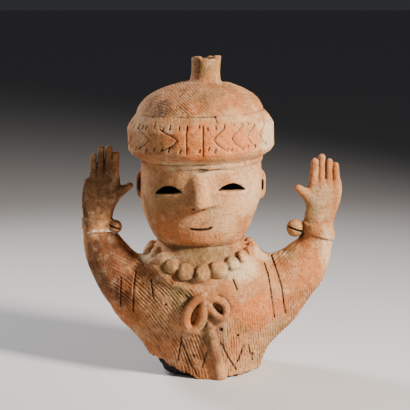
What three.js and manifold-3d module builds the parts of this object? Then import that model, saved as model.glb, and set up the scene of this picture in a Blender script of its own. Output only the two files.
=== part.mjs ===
// Haniwa figure: the broken-off upper half of a hollow terracotta tomb figure with both hands raised.
// It wears a banded hat with an open stub on top, a necklace of clay balls, a bow and a bell at each wrist.
// Millimetres, +Z up. The figure faces -Y and stands on the broken rim of its hollow waist.
import * as THREE from 'three';
import { LoftGeometry } from 'three/addons/geometries/LoftGeometry.js';
import { mergeVertices } from 'three/addons/utils/BufferGeometryUtils.js';
import Module from 'manifold-3d';

const wasm = await Module();
wasm.setup();

// Driving dimensions of the torso
const WALL = 10; // clay wall of the torso, neck, head and hat
const BASE_HALF_WIDTH = 61.5;
const BASE_HALF_DEPTH = 50;
const SHOULDER_HALF_WIDTH = 104; // widest part of the torso, without the arms
const CHEST_HALF_DEPTH = 67;
const TORSO_HEIGHT = 152; // from the floor to the root of the neck
const CHIP_RISE = 4; // the rim is worn away this far at the front, towards the figure's left
const SPALL_RISE = 19; // the outer skin has broken off this far up, towards the figure's right
const SPALL_DEPTH = 6.5;

// Driving dimensions of the neck, head and hat
const HEAD_OFFSET = -12; // the head sits a little towards the figure's right hand
const NECK_HALF_WIDTH = 49;
const NECK_HALF_DEPTH = 46;
const CHIN_Z = 158;
const HEAD_HALF_WIDTH = 70;
const HEAD_HALF_DEPTH = 68;
const FACE_HEIGHT = 94; // from the chin to the lower edge of the hat band
const BAND_RADIUS = 84;
const BAND_HEIGHT = 53;
const BAND_LIP = 9.5; // the lower edge of the band overhangs the brow from this height
const BAND_EDGE = 3; // bevel of that edge
const BAND_TAPER = 4.5; // how far the top of the band leans in
const BAND_BEND = 0.72; // share of the band's height where it starts to lean in
const BAND_SHOULDER = 0.87; // share of the band's height where it turns in to the crown
const CROWN_RADIUS = 73;
const CROWN_HEIGHT = 36;
const STUB_RADIUS = 16.5;
const STUB_BORE_RADIUS = 9.5;
const STUB_HEIGHT = 28; // broken, so its rim is uneven
const STUB_OFFSET = 6; // from the middle of the head
const HAT_ROLL = 2; // degrees that the hat leans towards the figure's right shoulder

// Face and ears
const HEAD_ROLL = 3; // degrees that the face leans towards the figure's right shoulder
const EYE_SPACING = 72.5;
const EYE_WIDTH = 28.5;
const EYE_OPENING = 9.8;
const EYE_SLANT = 5.5; // degrees that the outer ends drop
const NOSE_LENGTH = 37;
const NOSE_WIDTH = 29;
const NOSE_DEPTH = 17;
const NOSTRIL_RADIUS = 1.7;
const MOUTH_WIDTH = 24;
const MOUTH_GROOVE = 2; // width of the incised mouth line
const MOUTH_DEPTH = 3;
const EAR_HEIGHT = 35;
const EAR_REACH = 5.5; // how far an ear stands out from the head
const EAR_THICKNESS = 9;

// Arms and hands
const ARM_SPAN = 151; // from the middle of the chest to the outer edge of a hand
const HAND_TOP_Z = 269;
const ARM_ROOT_RADIUS = 38;
const ARM_DEPTH = 0.94; // share of the half width
const ARM_ROOT_FLARE = 20; // extra half depth where the arm leaves the chest
const ARM_WALL = 11;
const PALM_THICKNESS = 15;
const FINGER_RADIUS = 5;
const THUMB_RADIUS = 6;
const HAND_Y = -6; // the hands are a little in front of the shoulders
const BRACELET_WIDTH = 14;
const BRACELET_RISE = 1.9;
const BELL_RADIUS = 10;
const BELL_SLIT = 2.2;

// Necklace, bow and robe front
const NECKLACE_REACH = 64; // from the middle of the neck to the front ball
const BEAD_RADIUS = 10.6;
const BACK_BEADS = 11;
const KNOT_X = -7.5;
const KNOT_Z = 101.5;
const CORD_RADIUS = 5.3;
const LAPEL_HALF_WIDTH = 6.5;
const FLAP_HALF_WIDTH = 7.2;
const FLAP_RISE = 6;

// Incised lines of the hat band
const LINE_WIDTH = 1.8;
const LINE_DEPTH = 1.5;

// Levels that follow from the sizes above
const BAND_Z = CHIN_Z + FACE_HEIGHT;
const BAND_TOP_Z = BAND_Z + BAND_HEIGHT;
const CROWN_TOP_Z = BAND_TOP_Z + CROWN_HEIGHT;
const EYE_Z = CHIN_Z + 0.7 * FACE_HEIGHT;
const NOSE_TOP_Z = CHIN_Z + 0.9 * FACE_HEIGHT;
const NOSE_BOTTOM_Z = NOSE_TOP_Z - NOSE_LENGTH;
const MOUTH_Z = CHIN_Z + 0.24 * FACE_HEIGHT;
const EAR_Z = CHIN_Z + 0.68 * FACE_HEIGHT;
const UNDERCUT = 6; // how far a joined form reaches into its neighbour
const BELOW_FLOOR = 5; // how far a cut runs past the rim

const radians = THREE.MathUtils.degToRad;

// A closed geometry as a manifold solid.
function solid(geometry) {
  const bare = geometry.index ? geometry.toNonIndexed() : geometry;
  const points = new THREE.BufferGeometry().setAttribute('position', bare.getAttribute('position'));
  const merged = mergeVertices(points, 1e-3);
  const index = merged.index.array;
  const faces = [];
  for (let i = 0; i < index.length; i += 3) {
    const [a, b, c] = [index[i], index[i + 1], index[i + 2]];
    if (a !== b && b !== c && c !== a) faces.push(a, b, c);
  }
  return new wasm.Manifold(new wasm.Mesh({
    numProp: 3,
    vertProperties: merged.attributes.position.array,
    triVerts: new Uint32Array(faces),
  }));
}

function join(solids) {
  return solids.reduce((sum, next) => sum.add(next));
}

// Smooth interpolation through [position, value, value, ...] stations.
function through(stations, column) {
  const curve = new THREE.SplineCurve(stations.map((s) => new THREE.Vector2(s[0], s[column])));
  const samples = curve.getPoints(12 * stations.length);
  return (position) => {
    const next = samples.findIndex((p) => p.x >= position);
    if (next < 0) return samples[samples.length - 1].y;
    if (next === 0) return samples[0].y;
    const [low, high] = [samples[next - 1], samples[next]];
    return THREE.MathUtils.mapLinear(position, low.x, high.x, low.y, high.y);
  };
}

// An ellipse about a centre. across x along has to point the way the loft goes.
function ring(centre, across, along, segments) {
  return Array.from({ length: segments }, (_, i) => {
    const turn = (i / segments) * 2 * Math.PI;
    return centre.clone().addScaledVector(across, Math.cos(turn)).addScaledVector(along, Math.sin(turn));
  });
}

function loft(rings) {
  return solid(new LoftGeometry(rings, { capStart: true, capEnd: true }));
}

// An upright form of horizontal ellipses, from levels of [z, centre x, half width, half depth].
function upright(levels, segments) {
  return loft(levels.map(([z, x, halfWidth, halfDepth]) => ring(
    new THREE.Vector3(x, 0, z),
    new THREE.Vector3(halfWidth, 0, 0),
    new THREE.Vector3(0, halfDepth, 0),
    segments,
  )));
}

// A round-ended limb along a curve. radiusAt and depthAt give its half width and half depth at t.
function limb(curve, radiusAt, depthAt, steps, segments) {
  const section = (t, shrink, advance) => {
    const forward = curve.getTangent(t);
    const back = new THREE.Vector3(0, 1, 0).addScaledVector(forward, -forward.y).normalize();
    const side = back.clone().cross(forward);
    const centre = curve.getPoint(t).addScaledVector(forward, advance);
    return ring(
      centre,
      side.multiplyScalar(radiusAt(t) * shrink),
      back.multiplyScalar(depthAt(t) * shrink),
      segments,
    );
  };
  const rings = Array.from({ length: steps + 1 }, (_, i) => section(i / steps, 1, 0));
  for (const angle of [40, 75]) {
    const shrink = Math.cos(radians(angle));
    rings.push(section(1, shrink, Math.sin(radians(angle)) * depthAt(1)));
  }
  return loft(rings);
}

// A round cord along a curve, with open ends that are buried in their neighbours.
function cord(curve, radius, steps, sides) {
  const section = new THREE.Shape(
    new THREE.Path().absarc(0, 0, radius, 0, 2 * Math.PI).getSpacedPoints(sides).slice(0, sides),
  );
  return solid(new THREE.ExtrudeGeometry(section, { extrudePath: curve, steps }));
}

// Torso levels: share of the height, middle, half width and half depth
const FLARE = SHOULDER_HALF_WIDTH - BASE_HALF_WIDTH;
const TORSO_LEVELS = [
  [0, -3, BASE_HALF_WIDTH, BASE_HALF_DEPTH],
  [0.14, -5, BASE_HALF_WIDTH + 0.22 * FLARE, BASE_HALF_DEPTH + 4],
  [0.28, -4.5, BASE_HALF_WIDTH + 0.53 * FLARE, BASE_HALF_DEPTH + 9],
  [0.42, -4, BASE_HALF_WIDTH + 0.89 * FLARE, CHEST_HALF_DEPTH - 3],
  [0.53, -4, SHOULDER_HALF_WIDTH, CHEST_HALF_DEPTH],
  [0.67, -5, SHOULDER_HALF_WIDTH - 4, CHEST_HALF_DEPTH + 1],
  [0.79, -5.5, SHOULDER_HALF_WIDTH - 14, CHEST_HALF_DEPTH - 2],
  [0.88, -6, SHOULDER_HALF_WIDTH - 27, CHEST_HALF_DEPTH - 6],
  [0.93, -8, SHOULDER_HALF_WIDTH - 37, CHEST_HALF_DEPTH - 10],
  [0.97, -10, SHOULDER_HALF_WIDTH - 47, NECK_HALF_DEPTH + 5],
  [1, HEAD_OFFSET, NECK_HALF_WIDTH + 1, NECK_HALF_DEPTH + 1],
];
const torsoMiddle = through(TORSO_LEVELS, 1);
const torsoHalfWidth = through(TORSO_LEVELS, 2);
const torsoHalfDepth = through(TORSO_LEVELS, 3);

// Middle, half width and half depth of the torso at a height, inside a wall of the given thickness.
function torsoSection(z, wall) {
  const share = THREE.MathUtils.clamp(z / TORSO_HEIGHT, 0, 1);
  const [below, above] = [Math.max(share - 0.02, 0), Math.min(share + 0.02, 1)];
  const inset = (profile) => {
    const slope = (profile(above) - profile(below)) / ((above - below) * TORSO_HEIGHT);
    return profile(share) - wall * Math.hypot(1, Math.max(slope, -1.6));
  };
  return [torsoMiddle(share), inset(torsoHalfWidth), inset(torsoHalfDepth)];
}

// A point on the front of the torso, lifted off its surface.
function onChest(x, z, lift = 0) {
  const [centre, halfWidth, halfDepth] = torsoSection(z, 0);
  const across = (x - centre) / halfWidth;
  const y = -halfDepth * Math.sqrt(Math.max(1 - across * across, 0));
  const outward = new THREE.Vector3(across / halfWidth, y / halfDepth ** 2, 0).normalize();
  return new THREE.Vector3(x, y, z).addScaledVector(outward, lift);
}

// Height of the shoulders above a point of the plan, found by halving.
function shoulderZ(x, y) {
  let [low, high] = [0.7 * TORSO_HEIGHT, TORSO_HEIGHT];
  for (let i = 0; i < 12; i++) {
    const z = (low + high) / 2;
    const [centre, halfWidth, halfDepth] = torsoSection(z, 0);
    if (Math.hypot((x - centre) / halfWidth, y / halfDepth) < 1) low = z;
    else high = z;
  }
  return low;
}

function torso(wall, bottom, top, steps, segments) {
  const levels = Array.from({ length: steps + 1 }, (_, i) => {
    const z = bottom + ((top - bottom) * i) / steps;
    return [z, ...torsoSection(z, wall)];
  });
  return upright(levels, segments);
}

// Head levels: share of the face height above the chin, shares of the head's half width and depth, and
// how far the lower face sits towards the figure's right, in shares of the half width
const HEAD_LEVELS = [
  [0, 0.725, 0.73, 0.017],
  [0.06, 0.775, 0.81, 0.021],
  [0.13, 0.822, 0.87, 0.024],
  [0.22, 0.872, 0.92, 0.024],
  [0.4, 0.958, 0.97, 0.017],
  [0.6, 1, 0.995, 0],
  [0.97, 1, 1, 0],
  [1.15, 1, 1, 0],
];

// Half depth of the head at a height.
function faceDepth(z) {
  return HEAD_HALF_DEPTH * through(HEAD_LEVELS, 2)((z - CHIN_Z) / FACE_HEIGHT);
}

// The neck, the head and what the hat covers, inside a wall of the given thickness.
function head(wall, bottom, segments) {
  const neck = [HEAD_OFFSET, NECK_HALF_WIDTH - wall, NECK_HALF_DEPTH - wall];
  const levels = [bottom, CHIN_Z - 4].map((z) => [z, ...neck]);
  for (const [share, width, depth, shift] of HEAD_LEVELS) {
    const z = CHIN_Z + share * FACE_HEIGHT + (share < 0.1 ? 0.4 * wall : 0);
    const x = HEAD_OFFSET - shift * HEAD_HALF_WIDTH;
    levels.push([z, x, HEAD_HALF_WIDTH * width - wall, HEAD_HALF_DEPTH * depth - wall]);
  }
  return upright(levels, segments);
}

// Leans a form sideways about the middle of the head at a height, towards the figure's right.
function lean(degrees, z) {
  const roll = new THREE.Matrix4().makeRotationY(radians(-degrees));
  const there = new THREE.Matrix4().makeTranslation(HEAD_OFFSET, 0, z);
  return there.clone().multiply(roll).multiply(there.clone().invert());
}
const FACE_LEAN = lean(HEAD_ROLL, NOSE_BOTTOM_Z);
const HAT_LEAN = lean(HAT_ROLL, BAND_Z + BAND_HEIGHT / 2);

// A turned part of the hat, from [radius, z] points that start and end on its axis.
function turned(points, segments) {
  const geometry = new THREE.LatheGeometry(points.map(([r, z]) => new THREE.Vector2(r, z)), segments);
  return solid(geometry.rotateX(Math.PI / 2).translate(HEAD_OFFSET, 0, 0).applyMatrix4(HAT_LEAN));
}

// The crown is half an ellipse, from its foot up to the axis.
function crownPoints(radius, foot, height, steps) {
  return Array.from({ length: steps + 1 }, (_, i) => {
    const angle = (i / steps) * (Math.PI / 2);
    return [i === steps ? 0 : radius * Math.cos(angle), foot + height * Math.sin(angle)];
  });
}

function hat() {
  const [foot, top] = [BAND_Z, BAND_TOP_Z];
  const band = turned([
    [0, foot - 0.2 * BAND_LIP],
    [HEAD_HALF_WIDTH + 1, foot - 0.2 * BAND_LIP],
    [HEAD_HALF_WIDTH + BAND_EDGE, foot + 0.4 * BAND_LIP],
    [BAND_RADIUS - BAND_EDGE, foot + BAND_LIP],
    [BAND_RADIUS, foot + 1.5 * BAND_LIP],
    [BAND_RADIUS, foot + BAND_BEND * BAND_HEIGHT],
    [BAND_RADIUS - BAND_TAPER, foot + BAND_SHOULDER * BAND_HEIGHT],
    [CROWN_RADIUS + 1, top + 1],
    [0, top],
  ], 34);
  const crown = turned(
    [[0, top - UNDERCUT], ...crownPoints(CROWN_RADIUS, top - 1, CROWN_HEIGHT + 1, 5)],
    26,
  );
  return band.add(crown);
}

function hatHollow() {
  return turned([
    [0, BAND_Z],
    [HEAD_HALF_WIDTH - WALL, BAND_Z],
    ...crownPoints(CROWN_RADIUS - WALL, BAND_TOP_Z - WALL / 2, CROWN_HEIGHT - WALL / 2, 4),
  ], 18);
}

// The broken stub: a tube whose uneven rim is a wave of a few steps.
function stub(radius, bottom, top, roughness, sides) {
  const centre = HEAD_OFFSET + STUB_OFFSET;
  const flare = [1.12, 1, 0.98, 1.04, 1.07];
  const rings = flare.map((share, i) => {
    const level = i / (flare.length - 1);
    return Array.from({ length: sides }, (_, k) => {
      const turn = (k / sides) * 2 * Math.PI;
      const ragged = level * roughness * (Math.sin(2 * turn + 0.4) + 0.6 * Math.sin(5 * turn + 1));
      const reach = radius * (share + 0.03 * roughness * Math.sin(3 * turn) * level);
      return new THREE.Vector3(
        centre + reach * Math.cos(turn),
        reach * Math.sin(turn),
        bottom + level * (top - bottom) + ragged,
      );
    });
  });
  return loft(rings);
}

// The half-moon outline of an eye slot, about its own middle.
function eyeShape() {
  const half = EYE_WIDTH / 2;
  return new THREE.Shape()
    .moveTo(-half, -0.2 * EYE_OPENING)
    .quadraticCurveTo(0, 1.45 * EYE_OPENING, half, -0.2 * EYE_OPENING)
    .quadraticCurveTo(0, -0.52 * EYE_OPENING, -half, -0.2 * EYE_OPENING);
}

// Cuts through the front wall of the head, from outside to the hollow.
function eyes() {
  return join([-1, 1].map((side) => {
    const slot = new THREE.ExtrudeGeometry(eyeShape(), {
      depth: HEAD_HALF_DEPTH, bevelEnabled: false, curveSegments: 5,
    });
    slot.rotateZ(radians(-side * EYE_SLANT)).rotateX(Math.PI / 2);
    slot.translate(HEAD_OFFSET + (side * EYE_SPACING) / 2, -0.3 * HEAD_HALF_DEPTH, EYE_Z);
    return solid(slot.applyMatrix4(FACE_LEAN));
  }));
}

// Turns each triangle of an unindexed geometry round, after a mirroring.
function flip(geometry) {
  const p = geometry.getAttribute('position');
  const [a, b] = [new THREE.Vector3(), new THREE.Vector3()];
  for (let i = 0; i < p.count; i += 3) {
    a.fromBufferAttribute(p, i);
    b.fromBufferAttribute(p, i + 1);
    p.setXYZ(i, b.x, b.y, b.z);
    p.setXYZ(i + 1, a.x, a.y, a.z);
  }
}

// The nose is a wedge of three-sided sections that ends in a flat underside.
function nose() {
  const root = -HEAD_HALF_DEPTH + UNDERCUT;
  const section = (z, width, depth) => {
    const tip = -HEAD_HALF_DEPTH - depth;
    const half = width / 2;
    return [
      [half, root], [half * 0.9, -HEAD_HALF_DEPTH + 1], [half * 0.45, tip + 0.25 * depth], [half * 0.18, tip],
      [-half * 0.18, tip], [-half * 0.45, tip + 0.25 * depth], [-half * 0.9, -HEAD_HALF_DEPTH + 1], [-half, root],
    ].reverse().map(([x, y]) => new THREE.Vector3(HEAD_OFFSET + x, y, z));
  };
  const rings = [
    section(NOSE_BOTTOM_Z, NOSE_WIDTH, NOSE_DEPTH * 0.86),
    section(NOSE_BOTTOM_Z + 0.08 * NOSE_LENGTH, NOSE_WIDTH, NOSE_DEPTH),
    section(NOSE_BOTTOM_Z + 0.5 * NOSE_LENGTH, NOSE_WIDTH * 0.74, NOSE_DEPTH * 0.66),
    section(NOSE_TOP_Z, NOSE_WIDTH * 0.6, NOSE_DEPTH * 0.2),
  ];
  return solid(new LoftGeometry(rings, { capStart: true, capEnd: true }).applyMatrix4(FACE_LEAN));
}

function nostrils() {
  return join([-1, 1].map((side) => {
    const hole = new THREE.CylinderGeometry(NOSTRIL_RADIUS * 0.6, NOSTRIL_RADIUS, 9, 8).rotateX(Math.PI / 2);
    const x = HEAD_OFFSET + side * NOSE_WIDTH * 0.24;
    hole.translate(x, -HEAD_HALF_DEPTH - NOSE_DEPTH * 0.3, NOSE_BOTTOM_Z + 1);
    return solid(hole.applyMatrix4(FACE_LEAN));
  }));
}

// A brow that runs level across the face and meets the nose.
function brow() {
  const half = 0.62 * HEAD_HALF_WIDTH;
  const radius = 4;
  const points = Array.from({ length: 9 }, (_, i) => {
    const x = -half + (2 * half * i) / 8;
    const sunk = radius * (0.62 + 0.5 * (x / half) ** 2);
    const y = -HEAD_HALF_DEPTH * Math.sqrt(1 - (x / HEAD_HALF_WIDTH) ** 2) + sunk;
    const z = NOSE_TOP_Z + 2 - 3 * (x / half) ** 2;
    return new THREE.Vector3(HEAD_OFFSET + x, y, z);
  });
  return cord(new THREE.CatmullRomCurve3(points), radius, 9, 6);
}

// A shallow incised line that rises a little to the figure's left.
function mouth() {
  const [half, thick] = [MOUTH_WIDTH / 2, MOUTH_GROOVE / 2];
  const outline = new THREE.Shape()
    .moveTo(-half, -thick)
    .quadraticCurveTo(0, -2 * thick, half, thick)
    .lineTo(half, 2 * thick)
    .quadraticCurveTo(0, 0, -half, thick);
  const groove = new THREE.ExtrudeGeometry(outline, {
    depth: 2 * MOUTH_DEPTH, bevelEnabled: false, curveSegments: 4,
  });
  groove.rotateX(Math.PI / 2).translate(HEAD_OFFSET, MOUTH_DEPTH - faceDepth(MOUTH_Z), MOUTH_Z);
  return solid(groove.applyMatrix4(FACE_LEAN));
}

// An upright plate with rounded corners, and a shallow hollow in front.
function ears() {
  return join([-1, 1].map((side) => {
    const reach = EAR_REACH + UNDERCUT;
    const outline = (width, height) => new THREE.Shape([
      [0, -0.5], [0.75, -0.48], [1, -0.36], [1, 0.36], [0.75, 0.48], [0, 0.5],
    ].map(([x, z]) => new THREE.Vector2(x * width, z * height)));
    const plate = new THREE.ExtrudeGeometry(outline(reach, EAR_HEIGHT), {
      depth: EAR_THICKNESS, bevelEnabled: false,
    });
    const hollow = new THREE.ExtrudeGeometry(outline(reach * 0.75, EAR_HEIGHT * 0.72), {
      depth: EAR_THICKNESS, bevelEnabled: false,
    }).translate(0, 0, EAR_THICKNESS * 0.65);
    const pieces = [plate, hollow].map((piece) => {
      piece.rotateX(Math.PI / 2).translate(HEAD_HALF_WIDTH - UNDERCUT, EAR_THICKNESS / 2, EAR_Z);
      if (side < 0) {
        piece.scale(-1, 1, 1);
        flip(piece);
      }
      return solid(piece.translate(HEAD_OFFSET, 0, 0));
    });
    return pieces[0].subtract(pieces[1]);
  }));
}

// The arms, in shares of the arm span outwards, of the top of the hands upwards and of the arm's radius at
// its root. A route and a palm hold [outwards, upwards, half width] stations. Right hand of the figure first.
const ARMS = [
  {
    side: -1,
    bell: { size: 0.82, place: [0.738, 0.643] },
    bracelet: { place: [0.881, 0.651], tilt: 3, width: 1 },
    route: [
      [0.437, 0.312, 1], [0.609, 0.376, 0.921], [0.695, 0.424, 0.816],
      [0.762, 0.472, 0.737], [0.818, 0.528, 0.645], [0.854, 0.58, 0.526],
      [0.881, 0.636, 0.416],
    ],
    palm: [
      [0.881, 0.625, 0.416], [0.874, 0.691, 0.461], [0.861, 0.758, 0.539],
      [0.841, 0.814, 0.553], [0.828, 0.844, 0.516],
    ],
    fingers: [
      { root: [0.911, 0.825], tip: [0.893, 0.967], size: 0.94 },
      { root: [0.854, 0.818], tip: [0.84, 0.998], size: 0.97 },
      { root: [0.799, 0.818], tip: [0.78, 0.998], size: 0.97 },
      { root: [0.742, 0.825], tip: [0.727, 0.97], size: 0.90 },
    ],
    thumb: [[0.775, 0.762], [0.623, 0.822]],
  },
  {
    side: 1,
    bell: { size: 1, place: [0.646, 0.634] },
    bracelet: { place: [0.831, 0.623], tilt: -17, width: 0.8 },
    route: [
      [0.411, 0.335, 1], [0.589, 0.402, 0.895], [0.682, 0.446, 0.803], [0.738, 0.487, 0.697],
      [0.785, 0.533, 0.579], [0.811, 0.584, 0.495], [0.825, 0.632, 0.453],
    ],
    palm: [
      [0.825, 0.621, 0.453], [0.834, 0.677, 0.463], [0.861, 0.736, 0.487],
      [0.877, 0.788, 0.495], [0.874, 0.825, 0.479],
    ],
    fingers: [
      { root: [0.781, 0.803], tip: [0.792, 0.942], size: 1.02 },
      { root: [0.844, 0.803], tip: [0.844, 0.961], size: 0.92 },
      { root: [0.905, 0.803], tip: [0.899, 0.941], size: 0.92 },
      { root: [0.963, 0.795], tip: [0.949, 0.925], size: 0.94 },
    ],
    thumb: [[0.781, 0.755], [0.666, 0.81]],
  },
];

// A point of an arm, from its shares outwards and upwards.
function armPoint(side, [out, up], y) {
  return new THREE.Vector3(side * out * ARM_SPAN, y, up * HAND_TOP_Z);
}

// A curve through stations, and its radius at a share of the curve.
function stationCurve(stations, side, fromY, toY) {
  const last = stations.length - 1;
  const curve = new THREE.CatmullRomCurve3(stations.map((station, i) => (
    armPoint(side, station, THREE.MathUtils.lerp(fromY, toY, i / last))
  )));
  const radiusAt = through(stations.map((station, i) => [i / last, station[2] * ARM_ROOT_RADIUS]), 1);
  return { curve, radiusAt };
}

function arm({ route, side }) {
  const { curve, radiusAt } = stationCurve(route, side, 0, HAND_Y);
  return limb(curve, radiusAt, (t) => radiusAt(t) * ARM_DEPTH + ARM_ROOT_FLARE * (1 - t) ** 2.5, 7, 14);
}

// The forearm is solid past a share of the arm.
function armHollow({ route, side }) {
  const { curve, radiusAt } = stationCurve(route, side, 0, HAND_Y);
  const reach = 0.7;
  const inner = (t) => Math.max(radiusAt(t * reach) - ARM_WALL, 3);
  const points = Array.from({ length: 7 }, (_, i) => curve.getPoint((i / 6) * reach));
  return limb(new THREE.CatmullRomCurve3(points), inner, (t) => inner(t) * ARM_DEPTH, 3, 8);
}

function hand({ side, palm, fingers, thumb }) {
  const { curve, radiusAt } = stationCurve(palm, side, HAND_Y, HAND_Y - 2);
  const wristDepth = radiusAt(0) * ARM_DEPTH;
  const depthAt = (t) => THREE.MathUtils.lerp(wristDepth, PALM_THICKNESS / 2, Math.min(1.6 * t, 1));
  const flatEnd = (t) => depthAt(t) * THREE.MathUtils.lerp(1, 0.6, Math.max(4 * t - 3, 0));
  const digit = (root, tip, radius, slimming) => {
    const from = armPoint(side, root, HAND_Y - 1);
    const reach = armPoint(side, tip, HAND_Y - 3).sub(from);
    const axis = new THREE.LineCurve3(from, from.clone().add(reach.setLength(reach.length() - radius)));
    const taper = (t) => radius * (1 - slimming * t);
    return limb(axis, taper, taper, 1, 6);
  };
  return join([
    limb(curve, radiusAt, flatEnd, 4, 12),
    ...fingers.map(({ root, tip, size }) => digit(root, tip, size * FINGER_RADIUS, 0.2)),
    digit(thumb[0], thumb[1], THUMB_RADIUS, 0.15),
  ]);
}

// A flat band round the wrist, tilted in degrees.
function bracelet({ side, palm, bracelet: { place, tilt, width } }) {
  const radius = palm[0][2] * ARM_ROOT_RADIUS + BRACELET_RISE;
  const axis = new THREE.Vector3(-side * Math.sin(radians(tilt)), 0, Math.cos(radians(tilt)));
  const back = new THREE.Vector3(0, 1, 0);
  const across = back.clone().cross(axis).multiplyScalar(radius);
  back.multiplyScalar(radius * ARM_DEPTH);
  return loft([-0.5, 0.5].map((end) => {
    const centre = armPoint(side, place, HAND_Y).addScaledVector(axis, end * width * BRACELET_WIDTH);
    return ring(centre, across, back, 14);
  }));
}

// A round bell with a slit across its front.
function bell({ side, bell: { size, place } }) {
  const radius = size * BELL_RADIUS;
  const { x, y, z } = armPoint(side, place, 1.7 * HAND_Y);
  const ball = solid(new THREE.SphereGeometry(radius, 8, 5).translate(x, y, z));
  const slit = new THREE.BoxGeometry(1.7 * radius, radius, BELL_SLIT)
    .rotateY(radians(20))
    .translate(x, y - 0.9 * radius, z);
  return ball.subtract(solid(slit));
}

// The balls seen from the front: degrees from the front, share of the reach and share of the radius
const FRONT_BEADS = [
  [-66, 0.9, 0.68], [-47, 0.94, 0.78], [-31.5, 0.96, 0.89], [-15.5, 0.97, 1], [2, 0.98, 0.95],
  [18.5, 0.99, 1], [34, 1, 0.86], [49, 0.98, 0.78], [66, 0.96, 0.7],
];

// Clay balls pressed on round the root of the neck, largest and lowest in front.
function necklace() {
  const [first, last] = [FRONT_BEADS[FRONT_BEADS.length - 1][0], FRONT_BEADS[0][0] + 360];
  const behind = Array.from({ length: BACK_BEADS }, (_, i) => {
    const turn = THREE.MathUtils.lerp(first, last, (i + 1) / (BACK_BEADS + 1));
    return [turn, 0.86 + 0.09 * Math.abs(Math.sin(radians(turn))), 0.78];
  });
  return join([...FRONT_BEADS, ...behind].map(bead));
}

function bead([turn, reach, size]) {
  const angle = radians(turn);
  const x = HEAD_OFFSET + reach * NECKLACE_REACH * Math.sin(angle);
  const y = -reach * NECKLACE_REACH * Math.cos(angle);
  const ball = new THREE.SphereGeometry(size * BEAD_RADIUS, 6, 4);
  ball.rotateX(Math.PI / 2).scale(1, 0.7, 1).rotateX(radians(-35)).rotateZ(angle);
  return solid(ball.translate(x, y, shoulderZ(x, y)));
}

// A curve on the chest through [x, z] points about the knot, in shares of the knot's height.
function chestCurve(route, lift) {
  return new THREE.CatmullRomCurve3(route.map(([x, z]) => (
    onChest(KNOT_X + x * KNOT_Z, KNOT_Z + z * KNOT_Z, lift)
  )));
}

// A knot with two loops of cord.
function bow() {
  const left = [
    [-0.02, 0.015], [-0.097, -0.015], [-0.17, -0.1], [-0.21, -0.223], [-0.197, -0.32], [-0.137, -0.359],
    [-0.075, -0.326], [-0.031, -0.239], [-0.016, -0.121], [-0.008, -0.017],
  ];
  const right = [
    [0.014, 0.006], [0.125, -0.002], [0.212, -0.05], [0.241, -0.137], [0.204, -0.218], [0.125, -0.19],
    [0.058, -0.107], [0.003, -0.017],
  ];
  const lift = 0.55 * CORD_RADIUS;
  const knot = new THREE.SphereGeometry(1.3 * CORD_RADIUS, 7, 5);
  return join([
    solid(knot.translate(...onChest(KNOT_X, KNOT_Z, lift).toArray())),
    cord(chestCurve(left, lift), CORD_RADIUS, 12, 5),
    cord(chestCurve(right, lift), 0.82 * CORD_RADIUS, 10, 5),
  ]);
}

// The folded edge of the robe, from the figure's right shoulder down to the knot.
function lapel() {
  const route = [[-0.61, 0.295], [-0.424, 0.197], [-0.256, 0.118], [-0.108, 0.044], [0, 0]];
  const half = () => LAPEL_HALF_WIDTH;
  return limb(chestCurve(route, -0.45 * LAPEL_HALF_WIDTH), half, half, 5, 7);
}

// The overlapping front edge of the robe widens from the knot down to the rim.
function flap() {
  const route = [
    [0.03, -0.138], [0.047, -0.276], [0.071, -0.443], [0.111, -0.63], [0.141, -0.798], [0.18, -1],
  ];
  const curve = chestCurve(route, -0.14 * FLAP_HALF_WIDTH);
  const steps = 8;
  return loft(Array.from({ length: steps + 1 }, (_, i) => {
    const grow = Math.min(0.35 + (1.6 * i) / steps, 1);
    const across = new THREE.Vector3(-FLAP_HALF_WIDTH * grow, 0, 0);
    return ring(curve.getPoint(i / steps), across, new THREE.Vector3(0, FLAP_RISE * grow, 0), 8);
  }));
}

// A point on the band, from its bearing in degrees and its share of the band's height.
function bandPoint([turn, share]) {
  const lean = Math.max(share - BAND_BEND, 0) / (BAND_SHOULDER - BAND_BEND);
  const radius = BAND_RADIUS - BAND_TAPER * lean;
  const angle = radians(turn);
  return new THREE.Vector3(
    HEAD_OFFSET + radius * Math.sin(angle),
    -radius * Math.cos(angle),
    BAND_Z + share * BAND_HEIGHT,
  );
}

// A straight incised stroke on the hat band between two [degrees, share of the band height] points.
function bandStroke(start, end) {
  const [from, to] = [bandPoint(start), bandPoint(end)];
  const along = to.clone().sub(from);
  const length = along.length();
  const middle = from.clone().add(to).multiplyScalar(0.5);
  const across = new THREE.Vector3(middle.x - HEAD_OFFSET, middle.y, 0).cross(along.normalize()).normalize();
  const outward = along.clone().cross(across);
  const frame = new THREE.Matrix4().makeBasis(along, across, outward).setPosition(middle);
  frame.premultiply(HAT_LEAN);
  return solid(new THREE.BoxGeometry(length, LINE_WIDTH, 2 * LINE_DEPTH).applyMatrix4(frame));
}

// Two upright lines in front, and chevrons that point at them from both sides.
function bandCarving() {
  const strokes = [-10.6, 1.9].flatMap((turn) => [
    [[turn, 0.27], [turn, BAND_BEND + 0.01]],
    [[turn, BAND_BEND - 0.01], [turn, BAND_SHOULDER]],
  ]);
  const chevrons = (first, pitch, count, reach) => {
    for (let i = 0; i < count; i++) {
      const tip = first + i * pitch;
      strokes.push([[tip, 0.58], [tip + reach, 0.78]], [[tip, 0.58], [tip + reach, 0.36]]);
    }
  };
  chevrons(10, 14.2, 4, 8.8);
  chevrons(-17.4, -25.3, 3, -15);
  return join(strokes.map(([start, end]) => bandStroke(start, end)));
}

// A flat prism that crosses the rim outwards at a bearing from the front, in degrees.
function rimPrism(outline, bearing) {
  const block = new THREE.ExtrudeGeometry(outline, { depth: 2 * BASE_HALF_WIDTH, bevelEnabled: false });
  return solid(block.rotateX(Math.PI / 2).rotateZ(radians(bearing)));
}

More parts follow.
